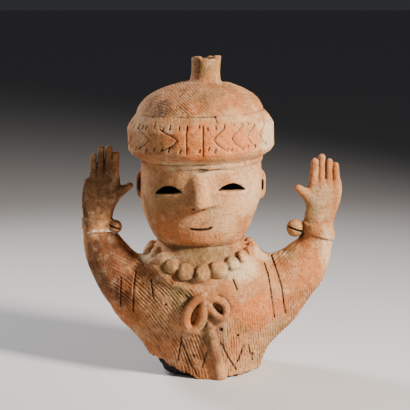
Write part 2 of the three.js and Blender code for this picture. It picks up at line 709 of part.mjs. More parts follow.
// The worn part of the rim.
function chip() {
  const half = 0.5 * BASE_HALF_WIDTH;
  const outline = new THREE.Shape()
    .moveTo(-half, -BELOW_FLOOR)
    .lineTo(-half, 0)
    .quadraticCurveTo(0, 2 * CHIP_RISE, half, 0)
    .lineTo(half, -BELOW_FLOOR);
  return rimPrism(outline, 52);
}

// The patch of the rim that has lost its outer skin, with a ragged upper edge.
function spall() {
  const half = 0.68 * BASE_HALF_WIDTH;
  const teeth = 8;
  const outline = new THREE.Shape().moveTo(-half, -BELOW_FLOOR);
  for (let i = 0; i <= teeth; i++) {
    const share = i / teeth;
    const arch = Math.min(1.25 - 0.3 * share, 3.2 * (1 - share) + 0.02);
    outline.lineTo((2 * share - 1) * half, SPALL_RISE * arch + 1.2 * Math.sin(4.7 * i + 0.6));
  }
  outline.lineTo(half, -BELOW_FLOOR);
  return rimPrism(outline, -71).subtract(torso(SPALL_DEPTH, -2 * BELOW_FLOOR, 2 * SPALL_RISE, 4, 32));
}

function hollow() {
  return join([
    torso(WALL, -BELOW_FLOOR, TORSO_HEIGHT - 6, 6, 20),
    head(WALL, TORSO_HEIGHT * 0.6, 18),
    hatHollow(),
    stub(STUB_BORE_RADIUS, BAND_TOP_Z, CROWN_TOP_Z + 2 * STUB_HEIGHT, 0, 9),
    ...ARMS.map(armHollow),
  ]);
}

function figureSolid() {
  const body = join([
    torso(0, 0, TORSO_HEIGHT, 9, 30),
    head(0, TORSO_HEIGHT * 0.7, 28),
    hat(),
    stub(STUB_RADIUS, CROWN_TOP_Z - 0.18 * CROWN_HEIGHT, CROWN_TOP_Z + STUB_HEIGHT - 2, 1, 14),
    nose(),
    brow(),
    ears(),
    necklace(),
    lapel(),
    flap(),
    bow(),
    ...ARMS.flatMap((spec) => [arm(spec), hand(spec), bracelet(spec), bell(spec)]),
  ]);
  const floor = new THREE.BoxGeometry(3 * ARM_SPAN, 3 * ARM_SPAN, ARM_SPAN).translate(0, 0, -ARM_SPAN / 2);
  const cuts = [
    solid(floor),
    hollow(),
    eyes(),
    mouth(),
    nostrils(),
    bandCarving(),
    chip(),
    spall(),
  ];
  return cuts.reduce((whole, cut) => whole.subtract(cut), body);
}

// A manifold solid as a named mesh.
function meshOf(name, shape, material) {
  const made = shape.getMesh();
  const positions = new Float32Array(made.numVert * 3);
  for (let i = 0; i < made.numVert; i++) {
    positions.set(made.vertProperties.subarray(i * made.numProp, i * made.numProp + 3), i * 3);
  }
  const geometry = new THREE.BufferGeometry();
  geometry.setAttribute('position', new THREE.BufferAttribute(positions, 3));
  geometry.setIndex(new THREE.BufferAttribute(made.triVerts, 1));
  geometry.computeVertexNormals();
  const mesh = new THREE.Mesh(geometry, material);
  mesh.name = name;
  return mesh;
}

const terracotta = new THREE.MeshStandardMaterial({ color: 0xbf8a68, roughness: 0.9, metalness: 0 });
const figure = meshOf('haniwa_figure', figureSolid(), terracotta);

// The origin is on the floor, under the middle of the whole figure.
const extent = new THREE.Box3().setFromObject(figure);
const middle = extent.getCenter(new THREE.Vector3());
figure.position.set(-middle.x, -middle.y, -extent.min.z);

const root = new THREE.Group();
root.add(figure);

export default root;
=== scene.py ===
import math

import bmesh
import bpy
import numpy as np
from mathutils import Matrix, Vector


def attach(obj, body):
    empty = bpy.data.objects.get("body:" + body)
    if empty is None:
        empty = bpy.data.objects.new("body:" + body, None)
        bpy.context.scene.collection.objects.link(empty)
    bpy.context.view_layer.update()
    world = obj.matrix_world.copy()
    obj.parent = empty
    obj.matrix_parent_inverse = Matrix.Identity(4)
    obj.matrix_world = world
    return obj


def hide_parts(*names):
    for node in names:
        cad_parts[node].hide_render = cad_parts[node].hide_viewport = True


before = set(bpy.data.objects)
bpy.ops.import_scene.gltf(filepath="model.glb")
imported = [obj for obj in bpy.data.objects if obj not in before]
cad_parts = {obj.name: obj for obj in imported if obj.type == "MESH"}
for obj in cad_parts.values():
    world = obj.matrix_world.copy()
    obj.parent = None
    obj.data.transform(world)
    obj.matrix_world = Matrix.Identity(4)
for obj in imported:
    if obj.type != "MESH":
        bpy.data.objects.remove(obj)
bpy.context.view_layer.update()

# Sizes are in millimetres. Single sizes that the solid's source also names have its values.
MM = 0.001
MODEL_SHIFT = (-0.06, 0.5)  # in x and y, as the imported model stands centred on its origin

# Torso
WALL = 10.0
TORSO_HEIGHT = 152.0
BASE_HALF_WIDTH = 61.5
BASE_HALF_DEPTH = 50.0
SHOULDER_HALF_WIDTH = 104.0
CHEST_HALF_DEPTH = 67.0
CHIP_RISE = 4.0
SPALL_RISE = 19.0
SPALL_DEPTH = 6.5

# Neck, head and hat
HEAD_OFFSET = -12.0
NECK_HALF_WIDTH = 49.0
NECK_HALF_DEPTH = 46.0
CHIN_Z = 158.0
HEAD_HALF_WIDTH = 70.0
HEAD_HALF_DEPTH = 68.0
FACE_HEIGHT = 94.0
BAND_RADIUS = 84.0
BAND_HEIGHT = 53.0
BAND_LIP = 9.5
BAND_EDGE = 3.0
BAND_TAPER = 4.5
BAND_BEND = 0.72
BAND_SHOULDER = 0.87
CROWN_RADIUS = 73.0
CROWN_HEIGHT = 36.0
STUB_RADIUS = 16.5
STUB_BORE_RADIUS = 9.5
STUB_HEIGHT = 28.0
STUB_OFFSET = 6.0
HAT_ROLL = 2.0  # degrees that the hat leans towards the figure's right shoulder

# Face and ears
HEAD_ROLL = 3.0
EYE_SPACING = 72.5
EYE_WIDTH = 28.5
EYE_OPENING = 9.8
EYE_SLANT = 5.5  # degrees that the outer ends drop
NOSE_LENGTH = 37.0
NOSE_WIDTH = 29.0
NOSE_DEPTH = 17.0
NOSTRIL_RADIUS = 1.7
MOUTH_DEPTH = 3.0
EAR_HEIGHT = 35.0
EAR_REACH = 5.5
EAR_THICKNESS = 9.0

# Arms and hands
ARM_ROOT_RADIUS = 38.0
RIGHT_WRIST_RADIUS = 15.8
LEFT_WRIST_RADIUS = 17.2
ARM_DEPTH = 0.94
ARM_WALL = 11.0
PALM_THICKNESS = 15.0
THUMB_RADIUS = 6.0
BRACELET_RISE = 1.9
RIGHT_BELL_RADIUS = 8.0
LEFT_BELL_RADIUS = 10.0
BELL_SLIT = 2.2
HAND_Y = -6.0

# Necklace, bow and robe front
BACK_BEADS = 11
BACK_BEAD_RADIUS = 8.3
NECKLACE_BACK = 55.0
KNOT_X = -7.5
KNOT_Z = 101.5
CORD_RADIUS = 5.3
LAPEL_HALF_WIDTH = 6.5
FLAP_HALF_WIDTH = 7.2

# Levels that follow from the sizes above
BAND_Z = CHIN_Z + FACE_HEIGHT
BAND_TOP_Z = BAND_Z + BAND_HEIGHT
CROWN_TOP_Z = BAND_TOP_Z + CROWN_HEIGHT
STUB_TOP_Z = CROWN_TOP_Z + STUB_HEIGHT
STUB_X = HEAD_OFFSET + STUB_OFFSET
EYE_Z = CHIN_Z + 0.7 * FACE_HEIGHT
NOSE_TOP_Z = CHIN_Z + 0.9 * FACE_HEIGHT
NOSE_BOTTOM_Z = NOSE_TOP_Z - NOSE_LENGTH
EAR_Z = CHIN_Z + 0.68 * FACE_HEIGHT
HAT_TUCK = 16.0  # how far the head runs up into the hat
NECK_TUCK = 45.0  # how far the neck runs down into the torso, from the chin

# Sculpting grid
CELL = 0.9  # edge of the finest grid cell
LEVELS = 3  # halvings from the coarsest cell to the finest
LOWEST = np.array([-158.0, -90.0, -6.0], dtype=np.float32)
HIGHEST = np.array([158.0, 90.0, 376.0], dtype=np.float32)
HALF_DIAGONAL = 0.87  # of a cell, as a share of its edge
DETAIL_REACH = 4.0  # the relief is worked out this near the surface
SLOPE_WINDOW = 17  # points of a profile over which its slope is evened out
TRIANGLES = 196000  # in the finished mesh
AXES = np.eye(3, dtype=int)
CUBE_CORNERS = np.stack(np.meshgrid([0, 1], [0, 1], [0, 1], indexing="ij"), -1).reshape(-1, 3)

# The photograph's view
TARGET = Vector((-7.3, 0.5, 196.0)) * MM
DISTANCE = 1.4
ELEVATION = math.radians(10.5)
FOCAL_PIXELS = 1199.0
IMAGE_PIXELS = 410.0
SENSOR_WIDTH = 36.0
FLOOR_SIZE = 80.0  # in metres

# Lights: place in metres, size in metres, watts, spread in degrees and colour
LIGHTS = {
    "key": ((1.5, -0.95, 1.1), 0.35, 19, 70, (1.0, 0.93, 0.84)),
    "fill": ((-0.6, -2.0, 1.2), 1.0, 1.2, 80, (1.0, 0.94, 0.88)),
    "rim": ((-1.2, 1.0, 1.1), 0.4, 6, 70, (0.95, 0.96, 1.0)),
}


def smooth_min(a, b, k):
    """The smaller of two distances, with the crease between them rounded over about k."""
    h = np.clip(0.5 + 0.5 * (b - a) / k, 0.0, 1.0)
    return b * (1.0 - h) + a * h - k * h * (1.0 - h)


def smooth_max(a, b, k):
    return -smooth_min(-a, -b, k)


def fade(value, low, high):
    """0 below low and 1 above high, eased between them."""
    t = np.clip((value - low) / (high - low), 0.0, 1.0)
    return t * t * (3.0 - 2.0 * t)


def spline(stations, count=160):
    """A dense Catmull-Rom line through stations, one row per point."""
    points = np.array(stations, dtype=np.float64)
    padded = np.vstack([2 * points[0] - points[1], points, 2 * points[-1] - points[-2]])
    spans = len(points) - 1
    place = np.linspace(0.0, spans - 1e-6, count)
    i = place.astype(int)
    t = (place - i)[:, None]
    p0, p1, p2, p3 = padded[i], padded[i + 1], padded[i + 2], padded[i + 3]
    return 0.5 * (2 * p1 + (p2 - p0) * t + (2 * p0 - 5 * p1 + 4 * p2 - p3) * t ** 2
                  + (3 * p1 - p0 - 3 * p2 + p3) * t ** 3)


def ellipse(x, y, half_width, half_depth):
    """Distance to an ellipse, close to true near its edge."""
    k0 = np.hypot(x / half_width, y / half_depth)
    k1 = np.hypot(x / half_width ** 2, y / half_depth ** 2) + 1e-6
    return k0 * (k0 - 1.0) / k1


# Torso levels: share of the height, middle, half width and half depth
FLARE = SHOULDER_HALF_WIDTH - BASE_HALF_WIDTH
TORSO_PROFILE = spline([
    (0.00, -3.0, BASE_HALF_WIDTH, BASE_HALF_DEPTH),
    (0.14, -5.0, BASE_HALF_WIDTH + 0.22 * FLARE, BASE_HALF_DEPTH + 4),
    (0.28, -4.5, BASE_HALF_WIDTH + 0.53 * FLARE, BASE_HALF_DEPTH + 9),
    (0.42, -4.0, BASE_HALF_WIDTH + 0.89 * FLARE, CHEST_HALF_DEPTH - 3),
    (0.53, -4.0, SHOULDER_HALF_WIDTH, CHEST_HALF_DEPTH),
    (0.67, -5.0, SHOULDER_HALF_WIDTH - 4, CHEST_HALF_DEPTH + 1),
    (0.79, -5.5, SHOULDER_HALF_WIDTH - 14, CHEST_HALF_DEPTH - 2),
    (0.88, -6.0, SHOULDER_HALF_WIDTH - 27, CHEST_HALF_DEPTH - 6),
    (0.93, -8.0, SHOULDER_HALF_WIDTH - 37, CHEST_HALF_DEPTH - 10),
    (0.97, -10.0, SHOULDER_HALF_WIDTH - 47, NECK_HALF_DEPTH + 5),
    (1.00, HEAD_OFFSET, NECK_HALF_WIDTH + 1, NECK_HALF_DEPTH + 1),
])

# Head levels: height, half width, half depth and middle
HEAD_PROFILE = spline([
    (CHIN_Z - 30, NECK_HALF_WIDTH, NECK_HALF_DEPTH, HEAD_OFFSET),
    (CHIN_Z - 5, NECK_HALF_WIDTH, NECK_HALF_DEPTH, HEAD_OFFSET),
] + [
    (CHIN_Z + share * FACE_HEIGHT, HEAD_HALF_WIDTH * width, HEAD_HALF_DEPTH * depth, HEAD_OFFSET - shift)
    for share, width, depth, shift in (
        (0.0, 0.725, 0.73, 1.2), (0.06, 0.775, 0.81, 1.5), (0.13, 0.822, 0.87, 1.7),
        (0.22, 0.872, 0.92, 1.7), (0.4, 0.958, 0.97, 1.2), (0.6, 1.0, 0.995, 0.0),
        (0.97, 1.0, 1.0, 0.0), (1.3, 1.0, 1.0, 0.0),
    )
])


def lofted(x, y, z, profile_z, half_width, half_depth, middle, inset):
    """An upright form of ellipses whose sizes come from a profile, allowing for its slope."""
    width = np.interp(z, profile_z, half_width)
    depth = np.interp(z, profile_z, half_depth)
    steepness = np.pad(np.gradient(half_width, profile_z), SLOPE_WINDOW // 2, mode="edge")
    even = np.convolve(steepness, np.ones(SLOPE_WINDOW) / SLOPE_WINDOW, mode="valid")
    slope = np.interp(z, profile_z, even)
    centre = np.interp(z, profile_z, middle)
    return ellipse(x - centre, y, width, depth) / np.sqrt(1.0 + np.clip(slope, -2.0, 2.0) ** 2) + inset


def torso(p, inset=0.0):
    x, y, z = p
    share, middle, half_width, half_depth = TORSO_PROFILE.T
    side = lofted(x, y, z, share * TORSO_HEIGHT, half_width, half_depth, middle, inset)
    return np.maximum(side, z - TORSO_HEIGHT + 0.6 * inset)


def head(p, inset=0.0):
    x, y, z = p
    heights, half_width, half_depth, middle = HEAD_PROFILE.T
    side = lofted(x, y, z, heights, half_width, half_depth, middle, inset)
    return np.maximum(side, np.maximum(z - BAND_Z - HAT_TUCK, CHIN_Z - NECK_TUCK - z))


def torso_level(z):
    """Middle, half width and half depth of the torso at one height."""
    shares = TORSO_PROFILE[:, 0]
    return [np.interp(z / TORSO_HEIGHT, shares, column) for column in TORSO_PROFILE.T[1:]]


def polygon(u, v, corners):
    """Signed distance to a closed polygon."""
    best = np.full_like(u, 1e9)
    inside = np.zeros(u.shape, dtype=bool)
    count = len(corners)
    for i in range(count):
        (ax, ay), (bx, by) = corners[i], corners[(i + 1) % count]
        ex, ey = bx - ax, by - ay
        wx, wy = u - ax, v - ay
        t = np.clip((wx * ex + wy * ey) / (ex * ex + ey * ey), 0.0, 1.0)
        best = np.minimum(best, (wx - ex * t) ** 2 + (wy - ey * t) ** 2)
        crosses = (ay > v) != (by > v)
        reach = ex * (v - ay) / (ey if abs(ey) > 1e-9 else 1e-9) + ax
        inside ^= crosses & (u < reach)
    return np.where(inside, -1.0, 1.0) * np.sqrt(best)


def crown_points(radius, foot, height, steps=14):
    angles = np.linspace(0.0, math.pi / 2, steps)
    return [(radius * math.cos(a), foot + height * math.sin(a)) for a in angles]


# Outlines of the hat, as [distance from its axis, height]
ROUNDING = 1.0
BAND_OUTLINE = [
    (-20.0, BAND_Z - 3),
    (HEAD_HALF_WIDTH - ROUNDING, BAND_Z - 3),
    (HEAD_HALF_WIDTH + 3 - ROUNDING, BAND_Z + 4),
    (BAND_RADIUS - BAND_EDGE - ROUNDING, BAND_Z + BAND_LIP),
    (BAND_RADIUS - ROUNDING, BAND_Z + 14),
    (BAND_RADIUS - ROUNDING, BAND_Z + BAND_BEND * BAND_HEIGHT),
    (BAND_RADIUS - BAND_TAPER - ROUNDING, BAND_Z + BAND_SHOULDER * BAND_HEIGHT),
    (CROWN_RADIUS + 1 - ROUNDING, BAND_TOP_Z + 1 - ROUNDING),
    (-20.0, BAND_TOP_Z - ROUNDING),
]
CROWN_OUTLINE = [(-20.0, BAND_TOP_Z - 8)] \
    + crown_points(CROWN_RADIUS, BAND_TOP_Z - 1, CROWN_HEIGHT + 1) \
    + [(-20.0, CROWN_TOP_Z)]
HAT_HOLLOW_OUTLINE = [(-20.0, BAND_Z), (HEAD_HALF_WIDTH - WALL, BAND_Z)] \
    + crown_points(CROWN_RADIUS - WALL, BAND_TOP_Z - WALL / 2, CROWN_HEIGHT - WALL / 2) \
    + [(-20.0, CROWN_TOP_Z - WALL)]


def hat_frame(p):
    """Coordinates of the hat, which leans a little to one side."""
    roll = math.radians(HAT_ROLL)
    x, z = p[0] - HEAD_OFFSET, p[2] - BAND_Z - BAND_HEIGHT / 2
    u = x * math.cos(roll) + z * math.sin(roll)
    w = -x * math.sin(roll) + z * math.cos(roll)
    return u + HEAD_OFFSET, p[1], w + BAND_Z + BAND_HEIGHT / 2


def hat(p):
    x, y, z = hat_frame(p)
    r = np.hypot(x - HEAD_OFFSET, y)
    band = polygon(r, z, BAND_OUTLINE) - ROUNDING
    crown = polygon(r, z, CROWN_OUTLINE)
    return smooth_min(band, crown, 1.5)


def stub(p):
    """The broken tube on the crown, with an uneven rim."""
    x, y, z = p
    bottom = CROWN_TOP_Z - 8
    u, v = x - STUB_X, y
    turn = np.arctan2(v, u)
    level = np.clip((z - bottom) / (STUB_TOP_Z - bottom), 0.0, 1.0)
    flare = 1.0 + 0.16 * (1.0 - level) ** 3 - 0.04 * np.sin(math.pi * level) + 0.06 * level ** 2
    ragged = STUB_TOP_Z - 2.0 + 1.6 * np.sin(2 * turn + 0.4) + 0.9 * np.sin(5 * turn + 1.0) \
        + 0.5 * np.sin(11 * turn)
    side = np.hypot(u, v) - STUB_RADIUS * flare * (1 + 0.03 * level * np.sin(3 * turn))
    return smooth_max(side, np.maximum(z - ragged, bottom - z), 1.2)


def chain(p, points, radii, depth=1.0, blend=0.0):
    """Round links between points, with the radius running evenly from one to the next."""
    x, y, z = p[0], p[1] / depth, p[2]
    best = None
    for i in range(len(points) - 1):
        a, b = np.array(points[i], float), np.array(points[i + 1], float)
        a[1], b[1] = a[1] / depth, b[1] / depth
        e = b - a
        along = (x - a[0]) * e[0] + (y - a[1]) * e[1] + (z - a[2]) * e[2]
        t = np.clip(along / (e @ e), 0.0, 1.0)
        u, v, w = x - a[0] - e[0] * t, y - a[1] - e[1] * t, z - a[2] - e[2] * t
        d = np.sqrt(u ** 2 + v ** 2 + w ** 2) - (radii[i] + (radii[i + 1] - radii[i]) * t)
        if best is None:
            best = d
        elif blend:
            best = smooth_min(best, d, blend)
        else:
            best = np.minimum(best, d)
    return best


# The arms: stations are [x, z, radius] with x outwards, a bell is its radius and centre, a finger its
# root, tip and radius, and a bracelet its x, z, tilt in degrees and width
ARMS = [
    {
        "side": -1,
        "bell": (RIGHT_BELL_RADIUS, 111.5, -12.0, 173.0),
        "route": [
            (66, 84, ARM_ROOT_RADIUS), (92, 101, 0.92 * ARM_ROOT_RADIUS), (105, 114, 31), (115, 127, 28),
            (123.5, 142, 24.5), (129, 156, 20), (133, 171, RIGHT_WRIST_RADIUS),
        ],
        "palm": [
            (133, 160, RIGHT_WRIST_RADIUS), (133, 168, RIGHT_WRIST_RADIUS), (132, 186, 17.5),
            (130, 204, 20.5), (127, 222, 21.0), (125, 231, 19.6),
        ],
        "fingers": [
            ((137.6, 222), (134.9, 260), 4.9), ((129.0, 220), (126.8, 268.5), 5.0),
            ((120.6, 220), (117.8, 268.5), 5.0), ((112.0, 222), (109.7, 261), 4.6),
        ],
        "thumb": ((117, 205), (94, 221)),
        "bracelet": (133.0, 175.0, 3.0, 14.0),
    },
    {
        "side": 1,
        "bell": (LEFT_BELL_RADIUS, 97.5, -10.0, 170.5),
        "route": [
            (62, 90, ARM_ROOT_RADIUS), (89, 108, 34), (103, 120, 30.5), (111.5, 131, 26.5),
            (118.5, 143.5, 22), (122.5, 157, 18.8), (124.5, 170, LEFT_WRIST_RADIUS),
        ],
        "palm": [
            (124.5, 160, LEFT_WRIST_RADIUS), (124.5, 167, LEFT_WRIST_RADIUS), (126, 182, 17.6),
            (130, 198, 18.5), (132.5, 214, 18.8), (132, 227, 18.4),
        ],
        "fingers": [
            ((118.0, 216), (119.6, 253.5), 5.4), ((127.4, 216), (127.4, 258.5), 4.8),
            ((136.6, 216), (135.8, 253), 4.8), ((145.4, 214), (143.3, 248.8), 4.9),
        ],
        "thumb": ((118, 203), (100.5, 218)),
        "bracelet": (125.5, 167.5, -17.0, 11.0),
    },
]
for spec in ARMS:
    line = spline(spec["route"], 15)
    depths = np.linspace(0.0, HAND_Y, len(line))
    spec["points"] = np.column_stack([spec["side"] * line[:, 0], depths, line[:, 1]])
    spec["radii"] = line[:, 2]


def arm(p, spec, inset=0.0):
    """An arm down to the wrist. Its hollow, at an inset, stops short of that."""
    last = len(spec["points"]) if inset == 0.0 else int(0.72 * len(spec["points"]))
    radii = np.maximum(spec["radii"][:last] - inset, 3.0)
    return chain(p, spec["points"][:last], radii, ARM_DEPTH)


def hand(p, spec):
    x, y, z = p
    side = spec["side"]
    palm = spline(spec["palm"], 40)
    top = palm[-1, 1]
    flat = fade(palm[:, 1], 168.0, 196.0)
    depth = palm[0, 2] * ARM_DEPTH * (1 - flat) + PALM_THICKNESS / 2 * flat
    depth = depth * (1 - 0.3 * fade(palm[:, 1], top - 14.0, top))
    middle, half_width, half_depth = (
        np.interp(z, palm[:, 1], column) for column in (palm[:, 0], palm[:, 2], depth)
    )
    d = ellipse(x - side * middle, y - HAND_Y + 1.0, half_width, half_depth)
    d = smooth_max(d, np.maximum(z - top, palm[0, 1] - z), 5.0)
    digits = None
    for root, tip, radius in spec["fingers"]:
        a = (side * root[0], HAND_Y - 1.0, root[1])
        b = (side * tip[0], HAND_Y - 3.0, tip[1] - radius)
        digit = chain(p, [a, b], [radius, 0.8 * radius])
        digits = digit if digits is None else np.minimum(digits, digit)
    d = smooth_min(d, digits, 2.5)
    root, tip = spec["thumb"]
    a = (side * root[0], HAND_Y - 1.0, root[1])
    b = (side * tip[0], HAND_Y - 5.0, tip[1])
    thumb = chain(p, [a, b], [1.25 * THUMB_RADIUS, 0.75 * THUMB_RADIUS])
    return smooth_min(d, thumb, 6.0)


def bracelet(p, spec, arm_distance):
    x, z, tilt, width = spec["bracelet"]
    turn = math.radians(tilt)
    along = (p[2] - z) * math.cos(turn) - (spec["side"] * p[0] - x) * math.sin(turn)
    return smooth_max(arm_distance - BRACELET_RISE, np.abs(along) - width / 2, 1.0)


def bell(p, spec):
    radius, x0, y0, z0 = spec["bell"]
    x, y, z = p[0] - spec["side"] * x0, p[1] - y0, p[2] - z0
    ball = np.sqrt(x * x + y * y + z * z) - radius
    tilt = math.radians(20)
    u = x * math.cos(tilt) - z * math.sin(tilt)
    w = x * math.sin(tilt) + z * math.cos(tilt)
    slit = np.maximum(np.abs(w) - BELL_SLIT / 2, np.abs(u) - 0.85 * radius)
    slit = np.maximum(slit, y + 0.35 * radius)
    return smooth_max(ball, -slit, 0.6)


def shoulder_z(x, y):
    low, high = 0.7 * TORSO_HEIGHT, TORSO_HEIGHT
    for _ in range(14):
        z = (low + high) / 2
        middle, half_width, half_depth = torso_level(z)
        inside = math.hypot((x - middle) / half_width, y / half_depth) < 1
        low, high = (z, high) if inside else (low, z)
    return low


# The beads seen from the front, as [bearing, reach from the middle of the neck, radius]
FRONT_BEADS = [
    (-66, 57.5, 7.2), (-47, 60.0, 8.3), (-31.5, 61.5, 9.4), (-15.5, 62.0, 10.6), (2, 62.5, 10.0),
    (18.5, 63.5, 10.6), (34, 64.0, 9.1), (49, 62.5, 8.3), (66, 61.5, 7.4),
]


def bead_places():
    """Centre, bearing and radius of each clay ball, largest in front."""
    first, last = FRONT_BEADS[-1][0], 360 + FRONT_BEADS[0][0]
    step = (last - first) / (BACK_BEADS + 1)
    behind = []
    for i in range(1, BACK_BEADS + 1):
        bearing = first + i * step
        reach = NECKLACE_BACK + 6 * abs(math.sin(math.radians(bearing)))
        behind.append((bearing, reach, BACK_BEAD_RADIUS))
    places = []
    for bearing, reach, radius in FRONT_BEADS + behind:
        angle = math.radians(bearing)
        x = HEAD_OFFSET + reach * math.sin(angle)
        y = -reach * math.cos(angle)
        places.append(((x, y, shoulder_z(x, y)), angle, radius))
    return places


BEADS = bead_places()


def bead(p, place, angle, radius):
    """A ball of clay pressed flat against the shoulders, and a little out of round."""
    x, y, z = p[0] - place[0], p[1] - place[1], p[2] - place[2]
    u = x * math.cos(angle) + y * math.sin(angle)
    v = -x * math.sin(angle) + y * math.cos(angle)
    lean = math.radians(-35)
    w = z * math.cos(lean) - v * math.sin(lean)
    v = v * math.cos(lean) + z * math.sin(lean)
    turn = np.arctan2(w, u)
    share = 1.0 + 0.04 * np.sin(2 * turn + 7 * angle) + 0.03 * np.sin(3 * turn + 17 * angle)
    return smooth_max(np.hypot(u, w) - radius * share, np.abs(v) - 0.68 * radius, 0.75 * radius)


def on_chest(x, z, lift):
    """The point on the chest at x and z, lifted off it."""
    middle, half_width, half_depth = torso_level(z)
    across = (x - middle) / half_width
    y = -half_depth * math.sqrt(max(1 - across * across, 0))
    outward = np.array([across / half_width, y / half_depth ** 2, 0.0])
    return np.array([x, y, z]) + lift * outward / np.linalg.norm(outward)


def chest_line(route, lift, count):
    places = spline(route, count)
    return [on_chest(KNOT_X + x, KNOT_Z + z, lift) for x, z in places]


# The bow, the lapel and the flap, as [x, z] routes from the knot
LEFT_LOOP = [
    (-2, 1.5), (-9.8, -1.5), (-17.2, -10.3), (-21.4, -22.6), (-20, -32.5), (-13.9, -36.4), (-7.6, -33.1),
    (-3.1, -24.3), (-1.6, -12.3), (-0.8, -1.7),
]
RIGHT_LOOP = [
    (1.4, 0.6), (12.7, -0.2), (21.5, -5), (24.5, -13.9), (20.7, -22.1), (12.7, -19.3), (5.9, -10.9),
    (0.3, -1.7),
]
LOOPS = [
    (chest_line(LEFT_LOOP, 0.55 * CORD_RADIUS, 30), CORD_RADIUS),
    (chest_line(RIGHT_LOOP, 0.55 * CORD_RADIUS, 24), 0.82 * CORD_RADIUS),
]
KNOT = [on_chest(KNOT_X - 2, KNOT_Z + 1, 1.5), on_chest(KNOT_X + 3, KNOT_Z - 3, 1.5)]
KNOT_RADIUS = 6.0
LAPEL = chest_line([(-62, 30), (-43, 20), (-26, 12), (-11, 4.5), (0, 0)], -4.0, 14)
FLAP_ROUTE = [(3.0, -14), (4.8, -28), (7.2, -45), (11.3, -64), (14.3, -81), (18.3, -KNOT_Z)]
FLAP = chest_line(FLAP_ROUTE, -1.5, 14)
FLAP_RADII = np.interp(np.linspace(0, 1, 14), [0, 0.25, 0.5, 1], [2.4, 4.2, 6.6, FLAP_HALF_WIDTH])


def head_frame(p):
    """Coordinates of the face, which leans a little about the nose."""
    roll = math.radians(HEAD_ROLL)
    x, z = p[0] - HEAD_OFFSET, p[2] - NOSE_BOTTOM_Z
    u = x * math.cos(roll) + z * math.sin(roll)
    w = -x * math.sin(roll) + z * math.cos(roll)
    return u, p[1], w + NOSE_BOTTOM_Z


def eye_cut(p):
    """The two half-moon slots, which go through the wall."""
    u, v, w = head_frame(p)
    best = None
    for side in (-1, 1):
        slant = math.radians(side * EYE_SLANT)
        x, z = side * (u - side * EYE_SPACING / 2), w - EYE_Z
        across = x * math.cos(slant * side) - z * math.sin(slant * side)
        rise = z * math.cos(slant * side) + x * math.sin(slant * side)
        s = across / (EYE_WIDTH / 2)
        upper = EYE_OPENING * (0.62 - 0.75 * s ** 2 - 0.06 * s)
        lower = EYE_OPENING * (-0.36 + 0.12 * s ** 2)
        d = smooth_max(rise - upper, lower - rise, 1.2)
        best = d if best is None else np.minimum(best, d)
    return np.maximum(best, v + 0.5 * HEAD_HALF_DEPTH)


def nose(p):
    """A wedge that stands out furthest just above its lower end."""
    u, v, w = head_frame(p)
    rise = np.clip((w - NOSE_BOTTOM_Z) / NOSE_LENGTH, 0.0, 1.0)
    depth = NOSE_DEPTH * np.interp(rise, [0.0, 0.08, 0.5, 1.0], [0.9, 1.0, 0.64, 0.16])
    half = NOSE_WIDTH / 2 * np.interp(rise, [0.0, 0.1, 0.5, 1.0], [0.98, 1.0, 0.76, 0.62])
    front = -HEAD_HALF_DEPTH - depth
    slope = half / (depth + 4.0)
    side = (np.abs(u) - 0.16 * NOSE_WIDTH - slope * (v - front)) / np.sqrt(1 + slope ** 2)
    d = smooth_max(side, front - v, 4.0)
    d = smooth_max(d, v + HEAD_HALF_DEPTH - 8.0, 2.0)
    return smooth_max(d, np.maximum(NOSE_BOTTOM_Z - w, w - NOSE_TOP_Z - 3.0), 3.0)


def nostril_cut(p):
    u, v, w = head_frame(p)
    x = np.abs(u) - 0.24 * NOSE_WIDTH
    y = v + HEAD_HALF_DEPTH + 0.42 * NOSE_DEPTH
    return np.maximum(np.hypot(x, y) - NOSTRIL_RADIUS, np.abs(w - NOSE_BOTTOM_Z) - 5.0)


def ear(p):
    x, y, z = np.abs(p[0] - HEAD_OFFSET) - HEAD_HALF_WIDTH + 6.0, p[1], p[2] - EAR_Z
    reach = EAR_REACH + 6.0
    edge = (np.abs(x / reach) ** 3.2 + np.abs(z / (EAR_HEIGHT / 2)) ** 3.2 + 1e-9) ** (1 / 3.2)
    plate = smooth_max((edge - 1.0) * reach, np.abs(y) - EAR_THICKNESS / 2, 2.0)
    dish = np.maximum(ellipse(x, z + 1, 0.72 * reach, 0.36 * EAR_HEIGHT), y + 0.1 * EAR_THICKNESS)
    return smooth_max(plate, -dish, 1.0)


def rim_frame(p, bearing):
    """Distances across and outward at a bearing, in degrees from the front."""
    turn = math.radians(bearing)
    across = p[0] * math.cos(turn) + p[1] * math.sin(turn)
    return across, p[0] * math.sin(turn) - p[1] * math.cos(turn)


def spall_cut(p):
    """The patch at the rim that has lost its outer skin, with a ragged upper edge."""
    across, outward = rim_frame(p, -71)
    half = 0.68 * BASE_HALF_WIDTH
    share = np.clip((across / half + 1) / 2, 0.0, 1.0)
    arch = np.minimum(1.25 - 0.3 * share, 3.2 * (1 - share) + 0.02)
    edge = SPALL_RISE * arch + 1.1 * np.sin(across * 0.55) + 0.6 * np.sin(across * 1.3 + 1.0)
    d = np.maximum(p[2] - edge, np.abs(across) - half)
    return np.maximum(np.maximum(d, -outward), -torso(p, SPALL_DEPTH))


def chip_cut(p):
    """The worn part of the rim."""
    across, outward = rim_frame(p, 52)
    half = 0.5 * BASE_HALF_WIDTH
    rise = CHIP_RISE * (1 - np.clip(across / half, -1, 1) ** 2) + 0.5 * np.sin(across * 0.7)
    return np.maximum(p[2] - rise, -outward)


def pick(p, mask):
    return tuple(axis[mask] for axis in p)


def within(p, low, high):
    return ((p[0] > low[0]) & (p[0] < high[0]) & (p[1] > low[1]) & (p[1] < high[1])
            & (p[2] > low[2]) & (p[2] < high[2]))


